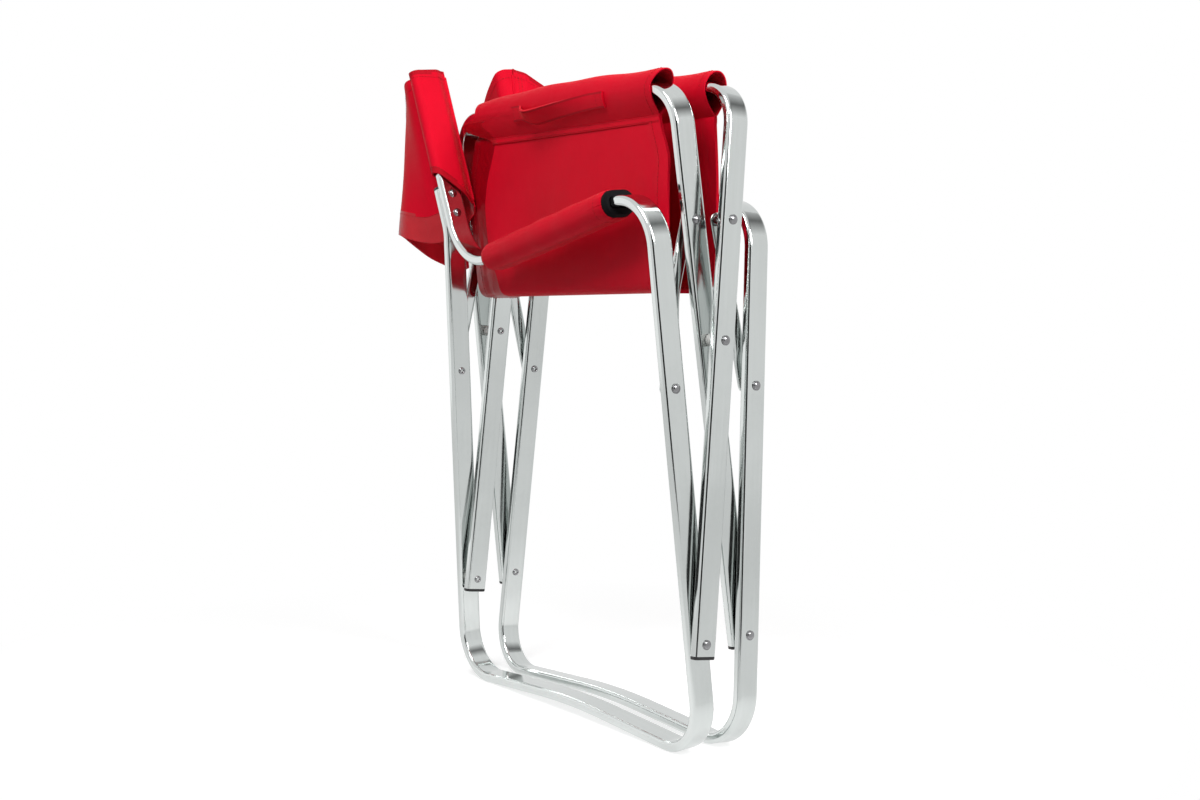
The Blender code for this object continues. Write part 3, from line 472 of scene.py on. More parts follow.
class Tree:
    """Short calls to add and link the nodes of a material or a group."""

    def __init__(self, tree: bpy.types.NodeTree) -> None:
        """Take the node tree to work on."""
        self.tree = tree

    def add(self, kind: str, **settings: object) -> bpy.types.Node:
        """Return a new node with its settings made."""
        node = self.tree.nodes.new("ShaderNode" + kind)
        for key, value in settings.items():
            setattr(node, key, value)
        return node

    def link(self, start: Socket, end: Socket) -> None:
        """Join two sockets."""
        self.tree.links.new(start, end)

    def math(self, operation: str, *values: object) -> Socket:
        """Return the result of a Math node on sockets and numbers."""
        node = self.add("Math", operation=operation)
        for socket, value in zip(node.inputs, values):
            if isinstance(value, Socket):
                self.link(value, socket)
            else:
                socket.default_value = value
        return node.outputs[0]

    def noise(self, vector: Socket, scale: float, detail: float = 3.0, rough: float = 0.55) -> Socket:
        """Return the value of a noise texture."""
        node = self.add("TexNoise")
        fill(node, {"Scale": scale, "Detail": detail, "Roughness": rough})
        self.link(vector, node.inputs["Vector"])
        return node.outputs[0]

    def spread(self, value: Socket, low: float, high: float, to_low: float, to_high: float) -> Socket:
        """Return a value mapped from one range to another, held at its ends."""
        node = self.add("MapRange")
        for socket, number in zip(node.inputs[1:5], (low, high, to_low, to_high)):
            socket.default_value = number
        self.link(value, node.inputs[0])
        return node.outputs[0]

    def blend(self, share: Socket, low: Colour, high: Colour) -> Socket:
        """Return a colour between two by a share."""
        node = self.add("Mix", data_type="RGBA")
        node.inputs[6].default_value = low
        node.inputs[7].default_value = high
        self.link(share, node.inputs[0])
        return node.outputs[2]

    def weigh(self, *parts: tuple[Socket, float]) -> Socket:
        """Return the sum of values, each times its weight."""
        total = self.math("MULTIPLY", *parts[0])
        for part in parts[1:]:
            total = self.math("ADD", total, self.math("MULTIPLY", *part))
        return total


class Effect(Enum):
    """Effects shared by the finishes, each a node group built once."""

    WEAVE = "woven_threads"
    DRAWN = "drawn_lines"
    HANDLING = "handling_marks"
    CREASES = "soft_creases"

    def group(self) -> bpy.types.NodeTree:
        """Return the effect's node group, made on the first call."""
        found = bpy.data.node_groups.get(self.value)
        if found:
            return found
        made = bpy.data.node_groups.new(self.value, "ShaderNodeTree")
        made.interface.new_socket("Vector", in_out="INPUT", socket_type="NodeSocketVector")
        for name, way in (("Size", "INPUT"), ("Height", "OUTPUT"), ("Mask", "OUTPUT")):
            made.interface.new_socket(name, in_out=way, socket_type="NodeSocketFloat")
        tree = Tree(made)
        enter, leave = made.nodes.new("NodeGroupInput"), made.nodes.new("NodeGroupOutput")
        nodes = EffectNodes(tree, enter.outputs["Vector"], enter.outputs["Size"])
        builders = {
            Effect.WEAVE: nodes.weave,
            Effect.DRAWN: nodes.drawn,
            Effect.HANDLING: nodes.handling,
            Effect.CREASES: nodes.creases,
        }
        height, mask = builders[self]()
        tree.link(height, leave.inputs["Height"])
        tree.link(mask, leave.inputs["Mask"])
        return made


NodePair = tuple[Socket, Socket]


@dataclass
class EffectNodes:
    """The nodes inside an effect's group: a height and a mask from a vector and a size, both in metres."""

    tree: Tree
    vector: Socket
    size: Socket

    def spot(self) -> Socket:
        """Return the vector divided by the size."""
        node = self.tree.add("VectorMath", operation="SCALE")
        self.tree.link(self.vector, node.inputs[0])
        self.tree.link(self.tree.math("DIVIDE", 1.0, self.size), node.inputs["Scale"])
        return node.outputs[0]

    def stretched(self, scale: Place) -> Socket:
        """Return the divided vector, stretched along its axes."""
        node = self.tree.add("Mapping")
        node.inputs["Scale"].default_value = scale
        self.tree.link(self.spot(), node.inputs[0])
        return node.outputs[0]

    def weave(self) -> NodePair:
        """Return a plain weave: warp and weft ridges of sine form, each over the other in turn.

        Returns:
            The thread height, and a slow slub mask from stretched noise.
        """
        tree, split, threads = self.tree, self.tree.add("SeparateXYZ"), self.spot()
        tree.link(threads, split.inputs[0])
        wander = tree.noise(threads, 0.35, 2.0)
        shift = tree.math("MULTIPLY", tree.math("SUBTRACT", wander, 0.5), 0.5)
        waves = []
        for socket in split.outputs[:2]:
            turned = tree.math("MULTIPLY", tree.math("ADD", socket, shift), pi)
            waves.append(tree.math("SINE", turned))
        over = tree.math("ADD", tree.math("MULTIPLY", tree.math("MULTIPLY", *waves), 0.5), 0.5)
        warp = tree.math("MULTIPLY", tree.math("ABSOLUTE", waves[0]), over)
        weft = tree.math("MULTIPLY", tree.math("ABSOLUTE", waves[1]), tree.math("SUBTRACT", 1.0, over))
        return tree.math("ADD", warp, weft), tree.noise(self.stretched((0.5, 0.04, 1.0)), 1.0, 4.0, 0.65)

    def drawn(self) -> NodePair:
        """Return lines drawn along a tube: noise that is fine across it and long along it.

        Returns:
            The line height, and a mask of broad streaks.
        """
        fine, broad = self.stretched((1.0, 0.012, 1.0)), self.stretched((0.12, 0.004, 1.0))
        return self.tree.noise(fine, 1.0, 4.0, 0.6), self.tree.noise(broad, 1.0, 3.0)

    def handling(self) -> NodePair:
        """Return soft smudges: two noises of different size, the first cut to islands.

        Returns:
            The fine noise as height, and the islands as mask.
        """
        tree, spot = self.tree, self.spot()
        fine = tree.noise(spot, 9.0, 5.0, 0.6)
        islands = tree.spread(tree.noise(spot, 1.0, 4.0), 0.42, 0.68, 0.0, 1.0)
        return fine, tree.math("MULTIPLY", islands, fine)

    def creases(self) -> NodePair:
        """Return the small creases of handled cloth: ridges where a bent noise crosses its middle.

        Returns:
            The crease height, and the noise itself as mask.
        """
        tree, bent = self.tree, self.tree.noise(self.spot(), 1.0, 2.5, 0.5)
        ridge = tree.math("ABSOLUTE", tree.math("SUBTRACT", bent, 0.5))
        return tree.math("SUBTRACT", 1.0, tree.math("MULTIPLY", ridge, 4.0)), bent


@dataclass(frozen=True)
class FinishBase:
    """What the finishes share: a named material with a Principled shader, two colours and a gloss range."""

    name: str
    low: Colour
    high: Colour
    rough: tuple[float, float]

    def start(self) -> tuple[Material, Tree, bpy.types.Node]:
        """Return a new material, its tree and its shader."""
        made = bpy.data.materials.new(self.name)
        made.use_nodes = True
        return made, Tree(made.node_tree), made.node_tree.nodes["Principled BSDF"]

    def place(self, tree: Tree, effect: Effect, size: float, uv: bool) -> bpy.types.Node:
        """Return an effect's group node on UV or object coordinates."""
        node = tree.add("Group", node_tree=effect.group())
        node.inputs["Size"].default_value = size
        source = tree.add("UVMap", uv_map="UVMap") if uv else tree.add("TexCoord")
        tree.link(source.outputs["UV" if uv else "Object"], node.inputs["Vector"])
        return node

    def bump(self, tree: Tree, shader: bpy.types.Node, heights: list[tuple[Socket, float]]) -> None:
        """Chain bumps of given depth in metres into the shader's normal."""
        last = None
        for height, depth in heights:
            node = tree.add("Bump")
            node.inputs["Distance"].default_value = depth
            tree.link(height, node.inputs["Height"])
            if last is not None:
                tree.link(last.outputs[0], node.inputs["Normal"])
            last = node
        tree.link(last.outputs[0], shader.inputs["Normal"])


@dataclass(frozen=True)
class Metal(FinishBase):
    """Bright drawn tube or rivet metal."""

    line: float
    depth: float

    def material(self) -> Material:
        """Return the metal: drawn lines in the bump, streaks and smudges in colour and gloss."""
        made, tree, shader = self.start()
        lines = self.place(tree, Effect.DRAWN, size=self.line, uv=True)
        marks = self.place(tree, Effect.HANDLING, size=0.06, uv=False)
        shader.inputs["Metallic"].default_value = 1.0
        mixed = tree.weigh((lines.outputs["Mask"], 0.6), (marks.outputs["Mask"], 0.5))
        tree.link(tree.blend(mixed, self.high, self.low), shader.inputs["Base Color"])
        tree.link(tree.spread(mixed, 0.1, 0.8, *self.rough), shader.inputs["Roughness"])
        self.bump(tree, shader, [(lines.outputs["Height"], self.depth)])
        return made


@dataclass(frozen=True)
class Moulded(FinishBase):
    """Moulded plastic or foam."""

    grain: float
    depth: float
    specular: float = 0.4

    def material(self) -> Material:
        """Return the moulding: fine grain in the bump, worn patches in colour and gloss."""
        made, tree, shader = self.start()
        grain = self.place(tree, Effect.HANDLING, size=self.grain, uv=False)
        wear = self.place(tree, Effect.HANDLING, size=0.03, uv=False)
        tree.link(tree.blend(wear.outputs["Mask"], self.low, self.high), shader.inputs["Base Color"])
        gloss = tree.spread(wear.outputs["Height"], 0.2, 0.8, *self.rough)
        tree.link(gloss, shader.inputs["Roughness"])
        shader.inputs["Specular IOR Level"].default_value = self.specular
        self.bump(tree, shader, [(grain.outputs["Height"], self.depth)])
        return made


@dataclass(frozen=True)
class Fabric(FinishBase):
    """Dyed cloth, plain or with a glossy coating."""

    pitch: float
    depth: float
    crease: float
    coat: float = 0.0
    specular: float = 0.12
    sheen: float = 0.0

    def material(self) -> Material:
        """Return the cloth: weave and creases in the bump, slubs and smudges in the colour, and painted shade
        in the colour where the thread height is low, between the threads.
        """
        made, tree, shader = self.start()
        weave = self.place(tree, Effect.WEAVE, size=self.pitch, uv=True)
        crease = self.place(tree, Effect.CREASES, size=0.045, uv=True)
        marks = self.place(tree, Effect.HANDLING, size=0.09, uv=False)
        height, slubs, smudges = weave.outputs["Height"], weave.outputs["Mask"], marks.outputs["Mask"]
        # The thread height paints shade into the valleys between threads; slubs and smudges are the cloth's
        # own tone and dirt.
        tone_and_valley_shade = tree.weigh((height, 0.35), (slubs, 0.45), (smudges, -0.25))
        tree.link(tree.blend(tone_and_valley_shade, self.low, self.high), shader.inputs["Base Color"])
        tree.link(tree.spread(slubs, 0.2, 0.8, *self.rough), shader.inputs["Roughness"])
        settings = {
            "Specular IOR Level": self.specular,
            "Coat Weight": self.coat,
            "Coat Roughness": 0.16,
            "Sheen Weight": self.sheen,
            "Sheen Roughness": 0.35,
            "Sheen Tint": (1.0, 0.40, 0.30, 1.0),
        }
        fill(shader, settings)
        self.bump(tree, shader, [(crease.outputs["Height"], self.crease), (height, self.depth)])
        return made


@dataclass(frozen=True)
class Finishes:
    """All materials of the chair."""

    tube: Material
    rivet: Material
    bush: Material
    plug: Material
    foam: Material
    canvas: Material
    coated: Material
    # A darker copy of the coated cloth, painted as shade.
    coated_painted_shade: Material
    binding: Material
    thread: Material

    @staticmethod
    def make() -> "Finishes":
        """Return the chair's finishes, in the order of the fields."""
        finishes = (
            Metal("bright_tube", (0.585, 0.615, 0.605, 1), (0.68, 0.71, 0.70, 1), rough=(0.07, 0.15),
                  line=0.0006, depth=0.000004),
            Metal("rivet_steel", (0.20, 0.20, 0.205, 1), (0.36, 0.36, 0.37, 1), rough=(0.12, 0.24),
                  line=0.0004, depth=0.00001),
            Moulded("white_nylon", (0.60, 0.60, 0.58, 1), (0.48, 0.48, 0.46, 1), rough=(0.42, 0.58),
                    grain=0.004, depth=0.00005),
            Moulded("black_plug", (0.012, 0.012, 0.013, 1), (0.03, 0.03, 0.03, 1), rough=(0.34, 0.52),
                    grain=0.005, depth=0.00008),
            Moulded("black_foam", (0.007, 0.007, 0.008, 1), (0.020, 0.020, 0.020, 1), rough=(0.85, 0.95),
                    grain=0.006, depth=0.0006, specular=0.05),
            Fabric("red_canvas", (0.50, 0.0010, 0.012, 1), (0.80, 0.0025, 0.026, 1), rough=(0.50, 0.62),
                   pitch=0.0009, depth=0.00012, crease=0.0003, specular=0.05, sheen=0.16),
            Fabric("red_coated", (0.36, 0.002, 0.008, 1), (0.56, 0.006, 0.016, 1), rough=(0.26, 0.40),
                   pitch=0.0009, depth=0.00003, crease=0.0010, coat=0.15, specular=0.3),
            # Painted shade: a darker copy of the coated cloth, put on the upper rear band of the seat panels.
            Fabric("red_coated_painted_shade", (0.21, 0.0005, 0.004, 1), (0.38, 0.001, 0.009, 1), rough=(0.26, 0.40),
                   pitch=0.0009, depth=0.00003, crease=0.0012, coat=0.03, specular=0.1),
            Fabric("red_binding", (0.34, 0.0008, 0.008, 1), (0.56, 0.002, 0.016, 1), rough=(0.50, 0.65),
                   pitch=0.0007, depth=0.00016, crease=0.0002, specular=0.09),
            Fabric("red_thread", (0.30, 0.003, 0.008, 1), (0.52, 0.014, 0.022, 1), rough=(0.50, 0.65),
                   pitch=0.0005, depth=0.00005, crease=0.00002),
        )
        return Finishes(*(finish.material() for finish in finishes))

    def plain(self, slot: Slot) -> Material:
        """Return the finish of a slot's plain pieces."""
        plain = {
            Slot.TUBE: self.tube,
            Slot.STEEL: self.rivet,
            Slot.NYLON: self.bush,
            Slot.PLUG: self.plug,
            Slot.FOAM: self.foam,
            Slot.CLOTH: self.canvas,
        }
        return plain[slot]


# The frame's geometry


def pivot(name: str) -> Array:
    """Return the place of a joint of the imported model."""
    return np.array(next(joint for joint in frame["joints"] if joint["name"] == name)["pos_m"], dtype=float)


@dataclass(frozen=True)
class ChairFrame:
    """Sizes and lines that the tubes, links and cloths share, in metres.

    post_point and arm_point are points (y, height) that the post and the arm go through.
    """

    tube_width: float = 0.028
    tube_thick: float = 0.012
    tube_corner: float = 0.004
    gap: float = 0.0003
    head_gap: float = 0.0002
    bush_gap: float = 0.0006
    foot_height: float = float(pivot("fold")[2])
    foot_half: float = float(-pivot("fold")[0])
    shift: float = float(pivot("fold")[1])
    cross_height: float = float(pivot("right_seat_turn")[2])
    lower_height: float = float(pivot("right_front_link_turn")[2])
    rail_height: float = float(pivot("right_seat_cloth_turn")[2])
    upper_rise: float = 0.1308
    tilt: float = radians(4.2)
    lean: float = radians(18.5)
    front_y: float = -0.2447
    rear_y: float = 0.2518
    front_lean: float = 0.065
    rear_lean: float = 0.055
    seat_lean: float = 0.050
    link_end: float = 0.004
    link_gap: float = 0.0037
    near_link_gap: float = 0.0042
    far_link_gap: float = 0.0073
    arm_slope: float = 0.205
    arm_point: tuple[float, float] = (-0.127, 0.6054)
    post_point: tuple[float, float] = (0.229, 0.635)
    leg_top: float = 0.642
    post_top: float = 0.779
    floor_low: float = 0.00304
    floor_middle: tuple[float, float] = (0.003, 0.01834)
    foot_drop: float = 0.013
    side_bends: tuple[float, ...] = (0.060, 0.055, 1.2, 0.055, 0.055, 0.072)

    @property
    def half(self) -> float:
        """Return half the tube's thickness."""
        return self.tube_thick / 2

    @property
    def loose_gap(self) -> float:
        """Return the play under rivet heads on leaning tubes."""
        return self.head_gap + 0.0003

    @property
    def leg_step(self) -> float:
        """Return how far the back leg's top lies behind the post."""
        return self.tube_thick + self.gap

    @property
    def cross(self) -> float:
        """Return the lean of the folded seat frames."""
        return atan(self.foot_half / (self.cross_height - self.foot_height))

    @property
    def upper_height(self) -> float:
        """Return the height of the upper link pivots."""
        return self.cross_height + self.upper_rise

    def side_plane(self, side: Side) -> Plane:
        """Return the tilted plane of a side frame, across pointing inward."""
        s, t = side.sign, self.tilt
        origin = np.array((s * (self.foot_half - self.foot_height * tan(t)), self.shift, 0.0))
        return Plane(origin, np.array((s * sin(t), 0.0, cos(t))), np.array((-s * cos(t), 0.0, sin(t))))

    def seat_plane(self, side: Side) -> Plane:
        """Return the plane of the seat frame whose rail is on a side."""
        s, t = side.sign, self.cross
        origin = np.array((-s * self.foot_half, self.shift, self.foot_height))
        return Plane(origin, np.array((s * sin(t), 0.0, cos(t))), np.array((s * cos(t), 0.0, -sin(t))))

    def side_leg_y(self, end: End, height: float) -> float:
        """Return the middle of a side frame leg at a height."""
        rise = (height - self.foot_height) / cos(self.tilt)
        if end is End.FRONT:
            return self.front_y + self.front_lean * rise
        return self.rear_y - self.rear_lean * rise

    def seat_leg_y(self, side: Side, end: End, height: float) -> float:
        """Return the middle of a seat frame leg at a height."""
        gaps = {
            (Side.LEFT, End.FRONT): -0.0012,
            (Side.RIGHT, End.FRONT): 0.0027,
            (Side.LEFT, End.REAR): -0.0087,
            (Side.RIGHT, End.REAR): 0.0012,
        }
        step = gaps[side, end] + (self.tube_thick if side is Side.RIGHT else -self.tube_thick)
        if end is End.REAR:
            return self.rear_y + step
        return self.front_y + step + self.seat_lean * (height - self.foot_height) / cos(self.cross)

    def link_y(self, side: Side, end: End) -> float:
        """Return the middle plane of a link."""
        if side is Side.RIGHT and end is End.FRONT:
            face = self.seat_leg_y(side, end, self.upper_height) + self.half
            return face + self.link_end / 2 + self.near_link_gap
        gap = self.link_gap if end is End.REAR else self.far_link_gap
        return self.side_leg_y(end, self.lower_height) + self.half + self.link_end / 2 + gap

    def link_low_y(self, side: Side, end: End) -> float:
        """Return the middle of a link's lower end."""
        if side is Side.RIGHT and end is End.FRONT:
            return self.side_leg_y(end, self.lower_height) + self.half + self.link_end / 2 + self.link_gap
        return self.link_y(side, end)

    def place(self, side: Side, height: float, half: float, y: float = 0.0) -> Array:
        """Return a point at a height and half spacing on a side."""
        return np.array((side.sign * half, y + self.shift, height))

    def foot(self, side: Side, y: float = 0.0) -> Array:
        """Return the foot pivot of a side."""
        return self.place(side, self.foot_height, self.foot_half, y)

    def crossing(self) -> Array:
        """Return the crossing pivot."""
        return self.place(Side.LEFT, self.cross_height, 0.0)

    def lower(self, side: Side, y: float = 0.0) -> Array:
        """Return the lower link pivot of a side."""
        half = self.foot_half + (self.lower_height - self.foot_height) * tan(self.tilt)
        return self.place(side, self.lower_height, half, y)

    def upper(self, side: Side, y: float = 0.0) -> Array:
        """Return the upper link pivot of a side."""
        return self.place(side, self.upper_height, self.upper_rise * tan(self.cross), y)

    def rail(self, side: Side) -> Array:
        """Return a point on a seat rail's axis."""
        half = (self.rail_height - self.cross_height) * tan(self.cross)
        return self.place(side, self.rail_height, half)

    def post_y(self, height: Array, offset: float = 0.0) -> Array:
        """Return y of the back post at a height in the side plane."""
        y, start = self.post_point
        return y + tan(self.lean) * (height - start) + offset / cos(self.lean)

    def arm_height(self, y: Array) -> Array:
        """Return the height of the arm in the side plane."""
        start, height = self.arm_point
        return height - self.arm_slope * (y - start)

    def post_axes(self, side: Side) -> tuple[Array, Array, Array]:
        """Return the axis, inward and rearward directions of a back post."""
        plane = self.side_plane(side)
        axis = REAR * sin(self.lean) + plane.up * cos(self.lean)
        return axis, plane.across, REAR * cos(self.lean) - plane.up * sin(self.lean)

    def side_corners(self) -> Rows:
        """Return the corners of a side frame from the back leg's top to the post's top."""
        foot = self.foot_height / cos(self.tilt)
        reach = foot - self.floor_low
        lean, slope = tan(self.lean), self.arm_slope
        knee = self.rear_y + self.rear_lean * foot - self.post_y(0.0, self.leg_step)
        knee = knee / (lean + self.rear_lean)
        level = self.arm_height(0.0)
        arm_front = (self.front_y + self.front_lean * (level - foot)) / (1 + self.front_lean * slope)
        arm_rear = self.post_y(level) / (1 + lean * slope)
        return [
            (self.post_y(self.leg_top, self.leg_step), self.leg_top),
            (self.post_y(knee, self.leg_step), knee),
            (self.rear_y + self.rear_lean * reach, self.floor_low),
            self.floor_middle,
            (self.front_y - self.front_lean * reach, self.floor_low),
            (arm_front, self.arm_height(arm_front)),
            (arm_rear, self.arm_height(arm_rear)),
            (self.post_y(self.post_top), self.post_top),
        ]

    def rail_corners(self, side: Side) -> Rows:
        """Return the four corners of a seat frame in its plane."""
        rail = (self.rail_height - self.foot_height) / cos(self.cross)
        front = self.seat_leg_y(side, End.FRONT, self.foot_height)
        rear = self.seat_leg_y(side, End.REAR, self.foot_height)
        return [
            (front - self.seat_lean * self.foot_drop, -self.foot_drop),
            (front + self.seat_lean * rail, rail),
            (rear, rail),
            (rear, -self.foot_drop),
        ]

    def arm_span(self) -> tuple[float, float]:
        """Return y where the straight of the arm starts and ends: the rows between its two bends."""
        steps = 4
        path = bent_path(self.side_corners()[4:8], self.side_bends[-2:], steps)
        return float(path[steps + 1, 0]), float(path[steps + 2, 0])


# Metal pieces


@dataclass(frozen=True)
class Rivet:
    """A domed rivet with a flanged head and a rolled end."""

    shank: float = 0.0030
    head: float = 0.0055
    dome: float = 0.0026
    flange: float = 0.0007
    tail: float = 0.0046
    roll: float = 0.0016
    bore: float = 0.0018
    bore_depth: float = 0.0010
    bore_floor: float = 0.0015

    def head_rows(self, face: float, way: float, gap: float) -> Rows:
        """Return the head's profile: a quarter ellipse on a thin flange."""
        angle = np.linspace(pi / 2, 0.0, 12)
        seat = face - way * gap
        rim = seat - way * self.flange
        along = rim - way * (self.dome - self.flange) * np.sin(angle)
        rows = list(zip(along, self.head * 0.80 * np.cos(angle) + 1e-5))
        rows += [(rim, self.head * 0.94), (rim + way * self.flange * 0.5, self.head)]
        return rows + [(seat, self.head * 0.98), (seat, self.shank)]

    def tail_rows(self, face: float, way: float, gap: float) -> Rows:
        """Return the rolled end's profile: a half ring round a blind bore."""
        angle = np.linspace(0.0, pi, 10)
        middle, wide = (self.tail + self.bore) / 2, (self.tail - self.bore) / 2
        base = face + way * gap
        rows = [(base, self.shank), (base, self.tail * 0.98)]
        rows += list(zip(base + way * self.roll * np.sin(angle), middle + wide * np.cos(angle)))
        return rows + [(base - way * self.bore_depth, self.bore_floor)]

    def surface(self, base: Array, axis: Array, head: float, tail: float, gap: float) -> Surface:
        """Return a rivet between two faces on an axis."""
        way = 1.0 if tail > head else -1.0
        return lathe(self.head_rows(head, way, gap) + self.tail_rows(tail, way, gap), base, axis)


RIVET = Rivet()
BUSH_BORE = 0.0032
BUSH_RADIUS = 0.0068
BUSH_CHAMFER = 0.0004
# Distance out of the tube and share of the section's size, from the tube's end to the crown.
PLUG_ROWS = (
    (0.00005, 0.9), (0.0002, 0.985), (0.0010, 0.992), (0.0024, 0.985),
    (0.0032, 0.95), (0.0036, 0.87), (0.0037, 0.7),
)


def bush(base: Array, axis: Array, near: float, far: float) -> Surface:
    """Return a bush or washer: a closed ring profile with broken edges, turned once round.

    Args:
        base: point on the axis.
        axis: direction of the axis.
        near: start along the axis.
        far: end along the axis.

    Returns:
        The turned ring.
    """
    low, high = min(near, far), max(near, far)
    chamfer = min(BUSH_CHAMFER, (high - low) * 0.3)
    rim = BUSH_RADIUS - chamfer
    rows = [(low, BUSH_BORE), (low, rim), (low + chamfer, BUSH_RADIUS)]
    rows += [(high - chamfer, BUSH_RADIUS), (high, rim), (high, BUSH_BORE)]
    return lathe(rows, base, axis, closed=True)


def end_plug(end: Array, out: Array, across: Array, thin: Array, chair: ChairFrame) -> Surface:
    """Return a tube plug: sections of a flat oval, a cap that covers the tube end and a low crown.

    Args:
        end: middle of the tube's end.
        out: direction out of the tube.
        across: the section's wide direction.
        thin: the section's thin direction.
        chair: the shared sizes.

    Returns:
        The closed plug.
    """
    size = np.array((chair.tube_width, chair.tube_thick))
    section = flat_oval(chair.tube_width, chair.tube_thick, chair.tube_corner, 6)
    rings = []
    for along, share in PLUG_ROWS:
        shrunk = section * (size - (1 - share) * chair.tube_thick) / size
        rings.append(end + out * along + across * shrunk[:, :1] + thin * shrunk[:, 1:])
    return capped(np.array(rings))


def tube_surface(plane: Plane, path: Array, chair: ChairFrame) -> Surface:
    """Return a flat oval tube carried along a path, with covered ends."""
    return capped(plane.sweep(path, flat_oval(chair.tube_width, chair.tube_thick, chair.tube_corner)))


@dataclass
class ChairPart:
    """What the builders share: a side of the chair, its sizes and its finishes."""

    side: Side
    chair: ChairFrame
    looks: Finishes

    @property
    def label(self) -> str:
        """Return the side's name."""
        return self.side.value

    def finish(
        self, node: str, surface: Surface, slot: Slot, body: str, looks: list[Material] | None = None
    ) -> Piece:
        """Return the piece that stands for the node of the same name.

        Args:
            node: the CAD node.
            surface: the piece's surface.
            slot: its material slot in the record.
            body: the body that carries it, without the side's name.
            looks: its materials, or None for the slot's plain finish.

        Returns:
            The piece.
        """
        piece = make_piece(f"{node}_look", surface, looks or [self.looks.plain(slot)])
        return settle(piece, f"{self.label}_{body}", [node])

    def rivet(
        self, node: str, base: Array, span: tuple[float, float], end: End, gap: float, body: str
    ) -> None:
        """Make a rivet along y through a span, its head on the outside of that end of the chair.

        Args:
            node: the CAD node.
            base: point that the span is counted from.
            span: where the joined faces start and end, front first.
            end: the end of the chair.
            gap: play under the head and the rolled end.
            body: the body that carries it, without the side's name.
        """
        head, tail = span if end is End.FRONT else span[::-1]
        self.finish(node, RIVET.surface(base, REAR, head, tail, gap), Slot.STEEL, body)

    def sew(self, name: str, rows: list[Surface], body: str) -> Piece:
        """Return stitch rows as one piece that rides a body of this side."""
        piece = make_piece(name, Surface.join(rows), [self.looks.thread])
        return settle(piece, f"{self.label}_{body}")


@dataclass
class SideFrame(ChairPart):
    """One side frame: its bent tube, plugs, rivets, washers and spacers."""

    washer_play: float = 0.0004
    spacer_play: float = 0.0002
    post_rivets: tuple[tuple[str, float], ...] = (("upper", 0.6355), ("lower", 0.6105))

    def build(self) -> None:
        """Make and dress everything of the side frame."""
        self.build_tube()
        self.build_plugs()
        for end in End:
            self.build_foot(end)
            self.build_link_end(end)
        self.build_post_rivets()

    def build_tube(self) -> None:
        """Make the tube: back leg, floor rail, front leg, arm and post in one run."""
        path = bent_path(self.chair.side_corners(), self.chair.side_bends)
        surface = tube_surface(self.chair.side_plane(self.side), path, self.chair)
        self.finish(f"{self.label}_side_frame", surface, Slot.TUBE, "side")

    def build_plugs(self) -> None:
        """Make the plugs in the tube's two open ends."""
        chair, plane = self.chair, self.chair.side_plane(self.side)
        axis, inward, rear = chair.post_axes(self.side)
        for place, height, offset in (("leg", chair.leg_top, chair.leg_step), ("post", chair.post_top, 0.0)):
            end = plane.point(chair.post_y(height, offset), height)
            surface = end_plug(end, axis, inward, rear, chair)
            self.finish(f"{self.label}_{place}_plug", surface, Slot.PLUG, "side")

    def build_foot(self, end: End) -> None:
        """Make a foot rivet and its washer, which lies square to the leaning leg."""
        chair, side, label = self.chair, self.side, f"{self.label}_{end.value}"
        own = chair.side_leg_y(end, chair.foot_height)
        other = chair.seat_leg_y(side.other, end, chair.foot_height)
        span = (min(own, other) - chair.half, max(own, other) + chair.half)
        self.rivet(f"{label}_foot_rivet", chair.foot(side), span, end, chair.head_gap, "side")
        way = 1.0 if other > own else -1.0
        lean = chair.front_lean if end is End.FRONT else -chair.rear_lean
        normal = unit(REAR - chair.side_plane(side).up * lean) * way
        thick = abs(other - own) - chair.tube_thick - chair.gap - self.washer_play
        base = chair.foot(side, own + way * chair.half * sqrt(1 + lean**2))
        surface = bush(base, normal, chair.gap, chair.gap + thick)
        self.finish(f"{label}_foot_washer", surface, Slot.NYLON, "side")

    def build_link_end(self, end: End) -> None:
        """Make a lower link rivet and its spacer."""
        chair, base, label = self.chair, self.chair.lower(self.side), f"{self.label}_{end.value}"
        leg, link = chair.side_leg_y(end, chair.lower_height), chair.link_low_y(self.side, end)
        span = (leg - chair.half, link + chair.link_end / 2)
        self.rivet(f"{label}_link_rivet", base, span, end, chair.loose_gap, "side")
        near, far = leg + chair.half + chair.bush_gap, link - chair.link_end / 2 - self.spacer_play
        self.finish(f"{label}_link_spacer", bush(base, REAR, near, far), Slot.NYLON, "side")

    def build_post_rivets(self) -> None:
        """Make the two rivets that join the back leg to the post."""
        chair, plane = self.chair, self.chair.side_plane(self.side)
        rear = chair.post_axes(self.side)[2]
        for place, height in self.post_rivets:
            spot = plane.point(chair.post_y(height), height)
            surface = RIVET.surface(spot, rear, -chair.half, 3 * chair.half + chair.gap, chair.head_gap)
            self.finish(f"{self.label}_{place}_post_rivet", surface, Slot.STEEL, "side")


